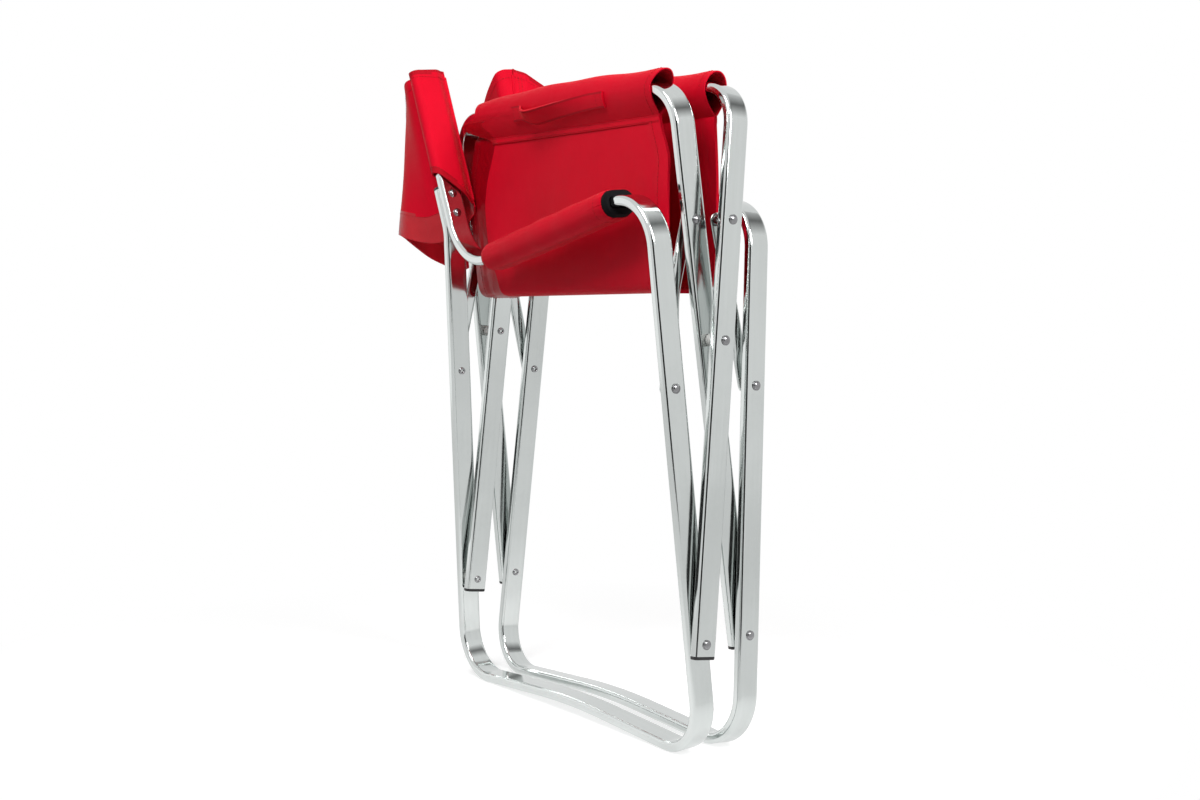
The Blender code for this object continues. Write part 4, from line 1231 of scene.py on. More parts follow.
@dataclass
class SeatFrame(ChairPart):
    """One U-shaped seat frame: its tube, foot plugs and link pins; the left one holds the crossing."""

    bend: float = 0.046

    def build(self) -> None:
        """Make and dress everything of the seat frame."""
        self.build_tube()
        self.build_plugs()
        self.build_pins()
        if self.side is Side.LEFT:
            self.build_crossing()

    def build_tube(self) -> None:
        """Make the U-shaped tube."""
        path = bent_path(self.chair.rail_corners(self.side), (self.bend, self.bend), 30)
        surface = tube_surface(self.chair.seat_plane(self.side), path, self.chair)
        self.finish(f"{self.label}_seat_frame", surface, Slot.TUBE, "seat")

    def build_plugs(self) -> None:
        """Make the plugs in the two feet."""
        plane, corners = self.chair.seat_plane(self.side), self.chair.rail_corners(self.side)
        for end, low, above in ((End.FRONT, corners[0], corners[1]), (End.REAR, corners[3], corners[2])):
            du, dv = unit(np.subtract(low, above))
            out, thin = REAR * du + plane.up * dv, REAR * dv - plane.up * du
            surface = end_plug(plane.point(*low), out, plane.across, thin, self.chair)
            self.finish(f"{self.label}_seat_{end.value}_foot_plug", surface, Slot.PLUG, "seat")

    def build_pins(self) -> None:
        """Make the shouldered pins that meet the links."""
        chair, side = self.chair, self.side
        rim = BUSH_RADIUS - BUSH_CHAMFER
        for end in End:
            leg, link = chair.seat_leg_y(side, end, chair.upper_height), chair.link_y(side, end)
            way = 1.0 if link > leg else -1.0
            start = leg + way * (chair.half + chair.bush_gap)
            stop = link - way * (chair.link_end / 2 + chair.bush_gap)
            rows = RIVET.head_rows(leg - way * chair.half, way, chair.loose_gap)
            rows += [(start, RIVET.shank), (start, rim), (start + way * BUSH_CHAMFER, BUSH_RADIUS)]
            rows += [(stop - way * BUSH_CHAMFER, BUSH_RADIUS), (stop, rim)]
            surface = lathe(rows, chair.upper(side), REAR)
            self.finish(f"{self.label}_{end.value}_upper_pin", surface, Slot.STEEL, "seat")

    def build_crossing(self) -> None:
        """Make the crossing rivets and the spacers between the seat frames."""
        chair, base = self.chair, self.chair.crossing()
        for end in End:
            left = chair.seat_leg_y(Side.LEFT, end, chair.cross_height)
            right = chair.seat_leg_y(Side.RIGHT, end, chair.cross_height)
            span = (left - chair.half, right + chair.half)
            self.rivet(f"{end.value}_cross_rivet", base, span, end, chair.loose_gap, "seat")
            inset = chair.half + chair.bush_gap
            surface = bush(base, REAR, left + inset, right - inset)
            self.finish(f"{end.value}_cross_spacer", surface, Slot.NYLON, "seat")


@dataclass
class Link(ChairPart):
    """One link: a tube whose ends are pressed flat, and its rolled rivet end."""

    end: End
    width: float = 0.016
    thick: float = 0.0076
    end_radius: float = 0.0085
    flat: float = 0.024
    swell: float = 0.018
    straight: float = 0.070
    squareness: float = 0.55

    def stations(self, length: float) -> tuple[Array, Array, Array]:
        """Return places along the link with half width and half thickness.

        The tip is a half circle; past the flat the thickness grows by the smooth step to
        the full tube and the width falls to it.

        Args:
            length: pivot to pivot.

        Returns:
            Distance along, half width and half thickness.
        """
        angle = np.linspace(0.04, pi / 2, 9)
        tip = -self.end_radius * np.cos(angle)
        body = np.linspace(0.0, length / 2, 30)[1:]
        along = np.concatenate((tip, body))
        wide = np.concatenate((self.end_radius * np.sin(angle), np.full(len(body), self.end_radius)))
        grow = ease((along - self.flat) / self.swell)
        wide = wide + grow * (self.width / 2 - self.end_radius)
        thick = self.chair.link_end / 2 + grow * (self.thick - self.chair.link_end) / 2
        pairs = ((along, length - along), (wide, wide), (thick, thick))
        return tuple(np.concatenate((near, far[-2::-1])) for near, far in pairs)

    def build(self) -> None:
        """Make the link and its rolled end.

        A rounded section, cosine and sine to the power of the squareness, is carried from
        pivot to pivot; the smooth step sets it back towards its lower end.
        """
        chair, name = self.chair, f"{self.label}_{self.end.value}_link"
        y = chair.link_y(self.side, self.end)
        low, high = chair.lower(self.side, y), chair.upper(self.side, y)
        length = float(np.linalg.norm(high - low))
        way = (high - low) / length
        along, wide, thick = self.stations(length)
        run = (along - self.flat) / (length - self.straight - self.flat)
        set_back = (chair.link_low_y(self.side, self.end) - y) * (1 - ease(run))
        turn = np.linspace(0.0, 2 * pi, 40, endpoint=False)
        round_w, round_t = (np.sign(v) * np.abs(v) ** self.squareness for v in (np.cos(turn), np.sin(turn)))
        rings = (
            low
            + way * along[:, None, None]
            + np.cross(way, REAR) * (wide[:, None] * round_w)[..., None]
            + REAR * (thick[:, None] * round_t + set_back[:, None])[..., None]
        )
        body = f"{self.end.value}_link"
        self.finish(name, capped(rings), Slot.TUBE, body)
        out = 1.0 if y > chair.seat_leg_y(self.side, self.end, chair.upper_height) else -1.0
        face = out * chair.link_end / 2
        rows = [(-face, RIVET.shank)] + RIVET.tail_rows(face, out, chair.gap)
        self.finish(f"{name}_pin", lathe(rows, high, REAR), Slot.STEEL, body)


# Soft pieces


@dataclass
class ArmPad(ChairPart):
    """A foam sleeve on the arm and the sewn cover round it."""

    foam_side: float = 0.0068
    foam_top: float = 0.0095
    corner: float = 0.0150
    tube_play: float = 0.0006
    edge_roll: float = 0.008
    front_inset: float = 0.0014
    rear_inset: float = 0.0066
    cover_inset: float = 0.0085
    cover_reach: float = 0.0030
    cover_grow: float = 0.0030
    cover_round: float = 0.011
    corner_steps: int = 10

    def sleeve(self, start: float, end: float, grow: Array, section: Array) -> Array:
        """Return a section carried along the arm, its size moved in or out at each station."""
        y = np.linspace(start, end, len(grow))[:, None]
        tu, tv = unit(np.array((1.0, -self.chair.arm_slope)))
        sized = section + unit(section) * grow[:, None, None]
        b, n = sized[..., 0], sized[..., 1]
        return self.chair.side_plane(self.side).point(y - tv * n, self.chair.arm_height(y) + tu * n, b)

    def build(self) -> None:
        """Make the foam, whose walls roll in at both ends, the cover and the cover's seam."""
        chair, steps = self.chair, self.corner_steps
        start, end = chair.arm_span()
        start, end = start + self.front_inset, end - self.rear_inset
        wide, tall = chair.tube_width + 2 * self.foam_side, chair.tube_thick + 2 * self.foam_top
        bore = (chair.tube_width + self.tube_play, chair.tube_thick + self.tube_play)
        share = shares(40)
        roll = np.exp(-share / self.edge_roll) + np.exp(-(1 - share) / self.edge_roll)
        outer = self.sleeve(start, end, -0.0016 * roll, flat_oval(wide, tall, self.corner, steps))
        inner = self.sleeve(start, end, 0.0008 * roll, flat_oval(*bore, chair.tube_corner, steps))
        parts = [grid(outer, wrap=True), grid(inner, wrap=True)]
        parts += [band(outer[i], inner[i]) for i in (0, -1)]
        piece = self.finish(f"{self.label}_arm_foam", Surface.join(parts), Slot.FOAM, "side")
        self.build_cover(start + self.cover_inset, end + self.cover_reach, wide, tall)

    def build_cover(self, start: float, end: float, wide: float, tall: float) -> None:
        """Make the cover: a crowned sleeve, drawn in at its ends and closed at the rear.

        The crown is a half sine with low waves on it, the front edge draws in by a falling
        exponential and the rear end by a quarter circle; small puckers run round both ends.

        Args:
            start: y of the front edge.
            end: y of the rear end.
            wide: width of the foam.
            tall: height of the foam.
        """
        grow = self.cover_grow
        section = flat_oval(wide + grow, tall + grow, self.corner + grow / 2, self.corner_steps)
        share = shares(96)
        from_front, from_rear = share * (end - start), (1 - share) * (end - start)
        crown = (0.0007 + 0.0004 * np.sin(9 * pi * share)) * np.sin(pi * share)
        front = -0.0012 * np.exp(-from_front / 0.003)
        near = 1 - np.minimum(from_rear, self.cover_round) / self.cover_round
        rear = -0.0090 * (1 - np.sqrt(np.clip(1 - near**2, 0.0, 1.0)))
        rings = self.sleeve(start, end, crown + front + rear, section)
        around = np.linspace(0.0, 2 * pi, rings.shape[1], endpoint=False)
        ends = np.exp(-from_front / 0.012) + np.exp(-from_rear / 0.014)
        middle = rings.mean(axis=1, keepdims=True)
        rings = rings + unit(rings - middle) * (0.0004 * np.sin(14 * around) * ends[:, None])[..., None]
        out = unit(rings - middle)
        lip = rings[0] - out[0] * 0.0014
        back = rings[-1] - (rings[-1] - middle[-1]) * 0.12
        deep = self.sleeve(start + 0.006, end - 0.004, np.full(30, -0.0015), section)
        parts = [grid(rings, wrap=True), band(rings[0], lip, 1), band(rings[-1], back, 1)]
        parts += [band(lip, deep[0], 1), grid(deep, wrap=True, slot=1), band(deep[-1], back, 1)]
        looks = [self.looks.canvas, self.looks.binding]
        piece = self.finish(f"{self.label}_arm_cover", Surface.join(parts), Slot.CLOTH, "side", looks)
        low = int(np.argmin(rings[len(rings) // 2, :, 2]))
        beside = [(low + step) % len(around) for step in (-1, 1)]
        rows = [stitch_row(rings[4:-8, col], out[4:-8, col]) for col in beside]
        hem = np.append(np.arange(len(around)), 0)
        rows.append(stitch_row(rings[5, hem], out[5, hem]))
        self.sew(f"{self.label}_arm_stitches", rows, "side")


@dataclass(frozen=True)
class SeatRows:
    """Rows where the parts of the seat cloth's section start, from the fold at row 0, and its end."""

    hang: int = 26
    rise: int = 70
    top: int = 88
    fall: int = 116
    lap: int = 138
    end: int = 144


@dataclass(frozen=True)
class SeatCut:
    """What differs between the seat halves.

    The sleeve's front and rear insets from the rail's corners, its reach to the front over
    the rail, the slant of the flap's rear edge, and whether an under-layer shows there.
    """

    insets: tuple[float, float]
    reach: float
    slant: float
    layered: bool


SEAT_CUTS = {
    Side.RIGHT: SeatCut(insets=(0.0316, 0.0520), reach=0.011, slant=0.034, layered=True),
    Side.LEFT: SeatCut(insets=(0.0395, 0.0431), reach=0.004, slant=0.014, layered=False),
}

# How far the strap hangs off the flap, by the share of its free length.
STRAP_SLACK = [
    (0.0, 0.0), (0.12, 0.0004), (0.45, 0.0050), (0.74, 0.0098), (0.86, 0.0080), (0.96, 0.0012), (1.0, 0.0)
]


@dataclass
class SeatHalf(ChairPart):
    """One half of the seat cloth: a sleeve round its rail and a panel that hangs to the fold."""

    loop: float = 0.0154
    seam: float = 0.030
    lap: float = 0.008
    thick: float = 0.0014
    round_depth: float = 0.050
    round_power: float = 0.36
    flap_power: float = 1.8
    front_fold: float = 0.2248
    rear_fold: float = 0.2318
    front_play: float = 0.0066
    rear_play: float = 0.0045
    taper: float = 0.055
    rear_over: float = 0.024
    rear_reach: float = 0.004
    rear_draw: float = 0.016
    under_end: float = 0.252
    hem: float = 0.020
    fade: float = 0.0012
    # Drop below the rail above which the panel's rear band is painted shade.
    extra: float = 0.0008
    painted_shade_drop: float = 0.185
    stitch_lift: float = 0.62
    cols: int = 84
    hem_col: int = 72
    rows: SeatRows = SeatRows()

    @property
    def cut(self) -> SeatCut:
        """Return what is particular to this half."""
        return SEAT_CUTS[self.side]

    def ends(self) -> tuple[float, float, float, float]:
        """Return y of the sleeve's front and rear and of the panel's front and rear."""
        chair, corners = self.chair, self.chair.rail_corners(self.side)
        front = chair.link_y(Side.RIGHT, End.FRONT) + self.front_play
        rear = chair.seat_leg_y(Side.LEFT, End.REAR, chair.upper_height) - chair.half - self.rear_play
        return corners[1][0] + self.cut.insets[0], corners[2][0] - self.cut.insets[1], front, rear

    def outline(self) -> tuple[Array, Array, Array]:
        """Return the cloth's section as drop below the rail and inward offset.

        From the fold a squarish quarter ellipse (sine and cosine to the round's power), taken
        in even steps, turns into the hanging panel; at the seam the cloth goes up the inner
        side, over the rail in a half circle, and down the outer flap, whose offset falls off
        with the flap's power of the drop, to a lap on the panel.

        Returns:
            Share of the hanging depth, drop of the loop and inward offset.
        """
        at = self.rows
        angle = np.linspace(pi / 2, 0.0, 4000)
        inner = abs(float(self.chair.rail(self.side)[0])) - 0.0006
        across, down = np.cos(angle) ** self.round_power, np.sin(angle) ** self.round_power
        turn = np.stack((inner - inner * across, self.round_depth * down), -1)
        turn[-1] = 0.0
        turn[0] = inner, self.round_depth
        walked = lengths(turn)
        fold = walk(turn, walked, np.linspace(0.0, walked[-1], at.hang))
        hang = shares(at.rise - at.hang + 2)[1:-1]
        rise = np.linspace(1.0, 0.0, at.top - at.rise)
        top = np.linspace(0.0, pi, at.fall - at.top + 2)[1:-1]
        fall = shares(at.lap - at.fall)
        lap = shares(at.end - at.lap + 1)[1:]
        layers = self.thick * 1.2
        inward = (
            fold[:, 0],
            np.zeros(len(hang)),
            self.loop * (1 - rise**self.flap_power),
            self.loop * np.cos(top),
            -self.loop * (1 - fall**self.flap_power) - layers * fall**3,
            np.full(len(lap), -layers),
        )
        drop = (
            np.zeros(at.rise),
            rise * self.seam,
            -self.loop * np.sin(top),
            fall * self.seam,
            self.seam + lap * self.lap,
        )
        depth = (fold[:, 1] / self.round_depth, hang, np.full(at.end - at.rise, np.nan))
        return np.concatenate(depth), np.concatenate(drop), np.concatenate(inward)

    def columns(self, h: Array, drop: Array, widen: Array, over: Array, share: Array) -> Array:
        """Return y of the cloth: even steps from the front edge to the hem, then to the rear edge.

        Smooth steps of the drop lead both edges from the sleeve's ends to the panel's; the
        rear edge slants on the flap, where an under-layer may stand beyond the upper one.

        Args:
            h: drops, rows by columns.
            drop: drop of the loop, by row.
            widen: share of the way from sleeve to panel, rows by columns.
            over: share of the way over the rail, rows by one.
            share: share of the way front to rear, by column.

        Returns:
            Places in y, rows by columns.
        """
        at, cut = self.rows, self.cut
        front, rear, panel_front, panel_rear = self.ends()
        inside, slant, under, beyond = (np.zeros((at.end, 1)) for _ in range(4))
        inside[: at.rise] = 1.0
        inside[at.rise : at.fall, 0] = ease(np.linspace(1.6, -0.6, at.fall - at.rise))
        slant[at.fall :, 0] = shares(at.end - at.fall)
        if cut.layered:
            fall = drop[at.fall :]
            under[at.fall :, 0] = ease(fall / 0.014)
            beyond[at.fall :, 0] = ease(fall / 0.012) * (1 - 0.85 * ease((fall - 0.012) / 0.024))
        start = front + (panel_front - front) * widen - cut.reach * over
        stop = rear + (panel_rear - rear) * widen + self.rear_reach * over
        stop = stop + self.rear_over * inside - cut.slant * slant - self.rear_draw * ease((h - 0.08) / 0.15)
        end = stop + (self.under_end - stop) * beyond
        even = self.hem_col / (self.cols - 1)
        hem = start + (stop - start) * even
        hem = hem + (stop - hem) * under
        band_width = 0.050 - 0.014 * ease((h - 0.04) / 0.09) + 0.014 * ease((h - 0.17) / 0.05)
        hem[: at.rise] = (stop - band_width)[: at.rise]
        before = start + (hem - start) * share / even
        return np.where(share <= even, before, hem + (end - hem) * (share - even) / (1 - even))

    def cloth(self) -> Array:
        """Return the grid of the cloth: rows along its section and columns front to rear.

        The panel's drop follows the sloping fold, and it sways by two sines that fade out at
        seam and fold; over the rail the cloth stands up in a long crown with low waves.
        """
        at = self.rows
        depth, drop, inward = self.outline()
        share = shares(self.cols)
        fold = self.front_fold + (self.rear_fold - self.front_fold) * share
        h = np.repeat(drop[:, None], self.cols, axis=1)
        h[: at.hang] = fold - self.round_depth + self.round_depth * depth[: at.hang, None]
        hang = depth[at.hang : at.rise, None]
        h[at.hang : at.rise] = (fold - self.round_depth) * (1 - hang) + self.seam * hang
        widen = ease((h - self.seam) / self.taper)
        widen[at.rise :] = 0.0
        over = np.zeros((at.end, 1))
        over[at.top : at.fall, 0] = np.sin(np.linspace(0.0, pi, at.fall - at.top))
        y = self.columns(h, drop, widen, over, share)
        free = np.sin(pi * np.clip((h - self.seam) / (fold - self.seam), 0.0, 1.0)) * (widen > 0)
        sway = 0.0022 * np.sin(2.3 * pi * share + 0.4) + 0.0012 * np.sin(5.1 * pi * share + 7 * h)
        w = inward[:, None] - free * (0.0025 + sway)
        crown = 0.0083 * np.sin(pi * (0.08 + 0.86 * share)) + 0.0014 * np.exp(-(((share - 0.02) / 0.05) ** 2))
        h = h - (crown + 0.0006 * np.sin(7 * pi * share + 1.0)) * over
        rail = self.chair.rail(self.side)
        return np.stack((rail[0] - self.side.sign * w, y + self.chair.shift, rail[2] - h), -1)

    def layers(self, points: Array, width: Array) -> tuple[Array, Array, Array]:
        """Return the cloth's thickness and the slots of its outer and inner faces, where the upper rear band
        of the panel's inner face is painted shade.

        Args:
            points: the cloth's grid.
            width: distance walked along each row.

        Returns:
            Thickness by point, thicker at hems and laps, and both slots by cell.
        """
        row, col = np.arange(self.rows.end)[:, None], np.arange(self.cols)
        panel = row < self.rows.rise
        under = (row >= self.rows.fall + 6) & (col >= self.hem_col) & self.cut.layered
        edged = (row >= self.rows.fall) & ~under & (col > self.hem_col - 2) & self.cut.layered
        from_edge = np.minimum(width, width[:, -1:] - width)
        hem = 1 - ease((from_edge - self.hem) / self.fade)
        thick = self.thick * (1 + 1.6 * hem * panel) + self.extra * ((row >= self.rows.lap) * 1.0 + edged)
        # Near the rail the rear band gets slot 2, a darker copy of the coated cloth painted as shade; lower
        # down it gets the coated cloth itself.
        upper = self.chair.rail(self.side)[2] - points[..., 2] < self.painted_shade_drop
        rear_band = np.where((col >= self.hem_col) & panel, np.where(upper, 2, 1), 0)
        inner = np.where(panel, rear_band, 1)
        return thick, np.where(under, 1, 0)[:-1, :-1], inner[:-1, :-1]

    def build(self) -> None:
        """Make the sleeve and the panel with their stitches and, on the right, the carry strap."""
        label, body, split = self.label, f"{self.label}_seat_half", self.rows.rise
        points = self.cloth()
        walked, width = lengths(points), widths(points)
        uv = np.stack((width, walked), -1)
        thick, outer, inner = self.layers(points, width)
        toward = self.toward(points)
        seams = self.stitches(points, toward, thick)
        # Slot 2 is painted shade: a darker copy of the coated cloth.
        looks = [self.looks.canvas, self.looks.coated, self.looks.coated_painted_shade]
        for place, part in (("sleeve", slice(split, None)), ("panel", slice(0, split + 1))):
            faces = slice(part.start, part.stop - 1 if part.stop else None)
            slots = (outer[faces], inner[faces])
            surface = sheet(points[part], toward[part], thick[part], slots, uv[part])
            piece = make_piece(f"{label}_seat_{place}_look", surface, looks)
            settle(piece, body, [f"{label}_seat_cloth"])
            extra = [self.sew(f"{label}_seat_{place}_stitches", seams[place], "seat_half")]
            if self.side is Side.RIGHT and place == "sleeve":
                extra += self.build_strap(points)
            if place == "panel":
                for item in (piece, *extra):
                    self.flatten(item)

    def flatten(self, piece: Piece) -> None:
        """Give a hanging piece its own copy of its mesh."""
        rail = self.chair.rail(self.side)
        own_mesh(piece)

    def toward(self, points: Array) -> Array:
        """Return the way out of the cloth: outward on panel and flap, away from the rail on the loop."""
        at, sign, rail = self.rows, self.side.sign, self.chair.rail(self.side)
        out = np.broadcast_to(np.array((sign, 0.0, -0.2)), points.shape).copy()
        out[: at.rise] = (-sign, 0.0, 0.6)
        out[at.rise : at.top] = (-sign, 0.0, 0.05)
        loop = slice(at.top, at.lap)
        out[loop] = points[loop] - np.array((rail[0], 0.0, rail[2]))
        out[loop, :, 1] = 0.0
        return out

    def stitches(self, points: Array, toward: Array, thick: Array) -> dict[str, list[Surface]]:
        """Return the stitch rows of sleeve and panel.

        Two rows run on the lap and one at each sleeve end; one row runs beside each hem
        of the panel.

        Args:
            points: the cloth's grid.
            toward: the way out of the cloth.
            thick: the cloth's thickness.

        Returns:
            The rows of the sleeve and of the panel.
        """
        at, normals = self.rows, normals_toward(points, toward)
        lift = thick * self.stitch_lift
        sleeve = [stitch_row(points[row], normals[row], lift[row]) for row in (at.lap, at.end - 2)]
        hang, flap = slice(2, at.rise - 1), slice(at.top, at.lap)
        panel = [stitch_row(points[hang, col], -normals[hang, col], lift[hang, col]) for col in (3, -4)]
        plain = self.thick * self.stitch_lift
        sleeve += [stitch_row(points[flap, col], normals[flap, col], plain) for col in (2, -3)]
        return {"sleeve": sleeve, "panel": panel}

    def build_strap(self, points: Array) -> list[Piece]:
        """Return the carry strap: a ribbon on the flap, sewn at its ends and slack between them.

        The slack lowers the ribbon and tips its upper edge out of the flap; it grows from the
        front end and is largest near the rear end.

        Args:
            points: the cloth's grid.

        Returns:
            The box stitches of the strap's ends.
        """
        sign, rail = self.side.sign, self.chair.rail(self.side)
        share, across = shares(90), shares(9)
        free = np.clip((share - 0.08) / 0.84, 0.0, 1.0)
        slack = curve_through(STRAP_SLACK, 200)
        slack = np.interp(free, slack[:, 0], slack[:, 1])[:, None]
        h = -0.0025 + 0.018 * across + slack * (1 - 0.30 * across)
        middle = points[self.rows.fall : self.rows.lap, self.cols // 2]
        lift = 0.0026 + slack * (1.30 * (1 - across) + 0.20)
        x = np.interp(h, rail[2] - middle[:, 2], middle[:, 0]) + sign * lift
        y = np.repeat((-0.080 + 0.198 * share + self.chair.shift)[:, None], len(across), axis=1)
        ribbon = np.stack((x, y, rail[2] - h), -1)
        edge = np.zeros((len(share) - 1, len(across) - 1), dtype=int)
        edge[:, (0, -1)] = 1
        outward = np.array((sign, 0.0, 0.0))
        surface = sheet(ribbon, outward, 0.0026, (edge, edge))
        strap = make_piece("carry_strap_look", surface, [self.looks.canvas, self.looks.binding])
        settle(strap, "right_seat_half", ["carry_handle"])
        normals = normals_toward(ribbon, outward)
        rows = []
        for box in (slice(1, 7), slice(-8, -2)):
            spots, out = ribbon[box], normals[box]
            rows += [stitch_row(spots[:, col], out[:, col], 0.0012) for col in (1, -2)]
            rows += [stitch_row(spots[row, 1:-1], out[row, 1:-1], 0.0012) for row in (0, -1)]
        boxes = self.sew("carry_strap_stitches", rows, "seat_half")
        return [boxes]


# Each side's lower and upper line of the folded half: share of the reach, and metres outward.
BACK_LINES = {
    Side.RIGHT: (
        [(0, 0), (0.05, 0.003), (0.18, 0.048), (0.30, 0.078), (0.46, 0.058), (0.75, -0.005), (1, -0.060)],
        [(0, 0), (0.05, 0.004), (0.1, 0.042), (0.24, 0.036), (0.49, 0.0145), (0.75, -0.018), (1.027, -0.055)],
    ),
    Side.LEFT: (
        [(0, 0), (0.12, 0.010), (0.34, 0.050), (0.62, 0.062), (1, 0.058)],
        [(0, 0), (0.015, -0.015), (0.06, -0.02), (0.22, -0.01), (0.45, 0.024), (0.72, 0.042), (1.027, 0.04)],
    ),
}


@dataclass(frozen=True)
class BackCut:
    """What differs between the backrest halves.

    The sleeve's upper edge and the front and rear of its lower edge, each as a height and
    its rise across the sleeve, the half's turn inward in degrees, and its reach.
    """

    top: tuple[float, float]
    low_front: tuple[float, float]
    low_rear: tuple[float, float]
    fold: float
    reach: float


BACK_CUTS = {
    Side.RIGHT: BackCut((0.7960, 0.0010), (0.664, -0.044), (0.664, -0.014), fold=11.6, reach=0.29097),
    Side.LEFT: BackCut((0.786, 0.024), (0.655, -0.018), (0.655, -0.006), fold=1.0, reach=0.28297),
}


@dataclass
class BackCloth(ChairPart):
    """One side of the backrest: a sleeve on the post and a half panel folded to the rear."""

    thick: float = 0.0014
    outer: float = 0.0185
    half: float = 0.0086
    seam: float = 0.030
    closed: float = 0.0009
    hem: float = 0.007
    strip: float = 0.034
    fade: float = 0.0012
    low_edge: float = 0.628
    middle: float = 0.707
    welt: float = 0.0021

    def build(self) -> None:
        """Make the sleeve and the half panel."""
        self.build_sleeve()
        self.build_half()

    @property
    def cut(self) -> BackCut:
        """Return what is particular to this side."""
        return BACK_CUTS[self.side]

    def sleeve_section(self) -> tuple[Array, Array]:
        """Return the sleeve's strip as (inward, rearward) rows and its share from rear seam to front seam.

        The strip leaves the seam on the rear side, rounds the post's outer edge in a half
        circle and comes back on the front side; near the seam both layers close up.
        """
        radius = self.half
        turn = np.linspace(pi / 2, 3 * pi / 2, 22)
        run = np.linspace(self.seam, -self.outer + radius, 26)[:-1]
        layer = self.closed + (radius - self.closed) * ease((self.seam - run) / 0.016)
        rear = np.stack((run, layer), -1)
        edge = np.stack((-self.outer + radius + radius * np.cos(turn), radius * np.sin(turn)), -1)
        front = np.stack((run[::-1], -layer[::-1]), -1)
        rows = np.concatenate((rear, edge, front))
        walked = lengths(rows)
        return rows, walked / walked[-1]

    def build_sleeve(self) -> None:
        """Make the sleeve: the strip carried up the post, with slanting edges and a bound hem."""
        label, cut = self.label, self.cut
        section, share = self.sleeve_section()
        inward = section[:, 0]
        across = (inward + self.outer) / (self.seam + self.outer)
        top, low_front, low_rear = (
            height + rise * across for height, rise in (cut.top, cut.low_front, cut.low_rear)
        )
        low = np.where(share > 0.5, low_front, low_rear)
        low = np.convolve(np.pad(low, 3, mode="edge"), np.ones(7) / 7, mode="valid")
        rise = shares(48)[:, None]
        height = low + (top - low) * rise
        plane = self.chair.side_plane(self.side)
        rear = self.chair.post_axes(self.side)[2]
        slack = (0.0010 * np.sin(3.2 * pi * rise + 2.0) + 0.0012 * np.sin(pi * rise)) * np.sin(pi * across)
        out = np.where(section[:, 1] >= 0, 1.0, -1.0)
        y = self.chair.post_y(height)
        points = plane.point(y, height, inward + 0 * height)
        points = points + rear * (section[:, 1] + out * np.maximum(slack, -0.0004))[..., None]
        outward = points - plane.point(y, height, np.clip(inward, -0.008, 0.022) + 0 * height)
        walked, width = lengths(points), widths(points)
        from_edge = np.minimum(walked, walked[-1:] - walked)
        bound = (from_edge < self.hem)[:-1, :-1]
        thick = self.thick * (1 + 0.35 * (1 - ease((from_edge - self.hem) / 0.001)))
        uv = np.stack((width, walked), -1)
        surface = sheet(points, outward, thick, (np.where(bound, 1, 0), 2), uv)
        looks = [self.looks.canvas, self.looks.binding, self.looks.coated]
        cloth = self.finish(f"{label}_back_sleeve", surface, Slot.CLOTH, "side", looks)
        normals = normals_toward(points, outward)
        rows = [stitch_row(points[row], normals[row], 0.0010) for row in (3, -4)]
        inner = slice(2, -2)
        rows += [stitch_row(points[inner, col], normals[inner, col], 0.0008) for col in (4, 6, -5, -7)]
        stitches = self.sew(f"{label}_back_sleeve_stitches", rows, "side")

    def ways(self) -> tuple[Array, Array]:
        """Return the panel's way to the rear and outward."""
        axis, inward, rear = self.chair.post_axes(self.side)
        fold = radians(self.cut.fold)
        way = rear * cos(fold) + inward * sin(fold)
        out = np.cross(way, axis)
        return way, out if np.dot(out, inward) < 0 else -out

    def half_edges(self, share: Array) -> tuple[Array, Array]:
        """Return the heights of the lower and upper edges.

        They are sloping lines, on the right with a bell-shaped dip and peak.

        Args:
            share: share of the reach from seam to tip.

        Returns:
            Heights of the lower and the upper edge.
        """
        if self.side is Side.LEFT:
            return np.full_like(share, self.low_edge), 0.8095 - 0.032 * np.minimum(share / 0.22, 1.0)
        dip = 0.036 * np.exp(-(((share - 0.15) / 0.13) ** 2)) + 0.012 * ease((share - 0.35) / 0.4)
        peak = 0.014 * np.exp(-(((share - 0.10) / 0.16) ** 2)) - 0.012 * share
        return self.low_edge - dip, 0.7880 + peak

    def half_points(self, way: Array, out: Array) -> Array:
        """Return the half's grid: a lower and an upper curve, with straight threads between them.

        Two low sine ripples stand on it and fade out at seam and tip.

        Args:
            way: the panel's way to the rear.
            out: its way outward.

        Returns:
            Points, rows from the lower to the upper edge and columns from seam to tip.
        """
        step = shares(110)
        rise = shares(48)[:, None]
        reach = self.cut.reach
        low, top = (
            curve_through([(share * reach, bow) for share, bow in line], len(step))
            for line in BACK_LINES[self.side]
        )
        run = low + (top - low) * rise[..., None]
        edge_low, edge_top = self.half_edges(run[..., 0] / reach)
        height = edge_low + (edge_top - edge_low) * rise
        ripple = 0.0016 * np.sin(3 * pi * step + 2.5 * rise) * np.sin(pi * step)
        ripple = ripple + 0.0022 * np.sin(pi * step) * np.sin(2 * pi * rise + 0.6) * (0.5 - rise)
        return self.hinge(height) + way * run[..., :1] + out * (run[..., 1] + ripple)[..., None]

    def hinge(self, height: Array | float) -> Array:
        """Return points of the line that the half turns on, just inside the sleeve's seam."""
        plane = self.chair.side_plane(self.side)
        return plane.point(self.chair.post_y(height), height, self.seam + 0.001)

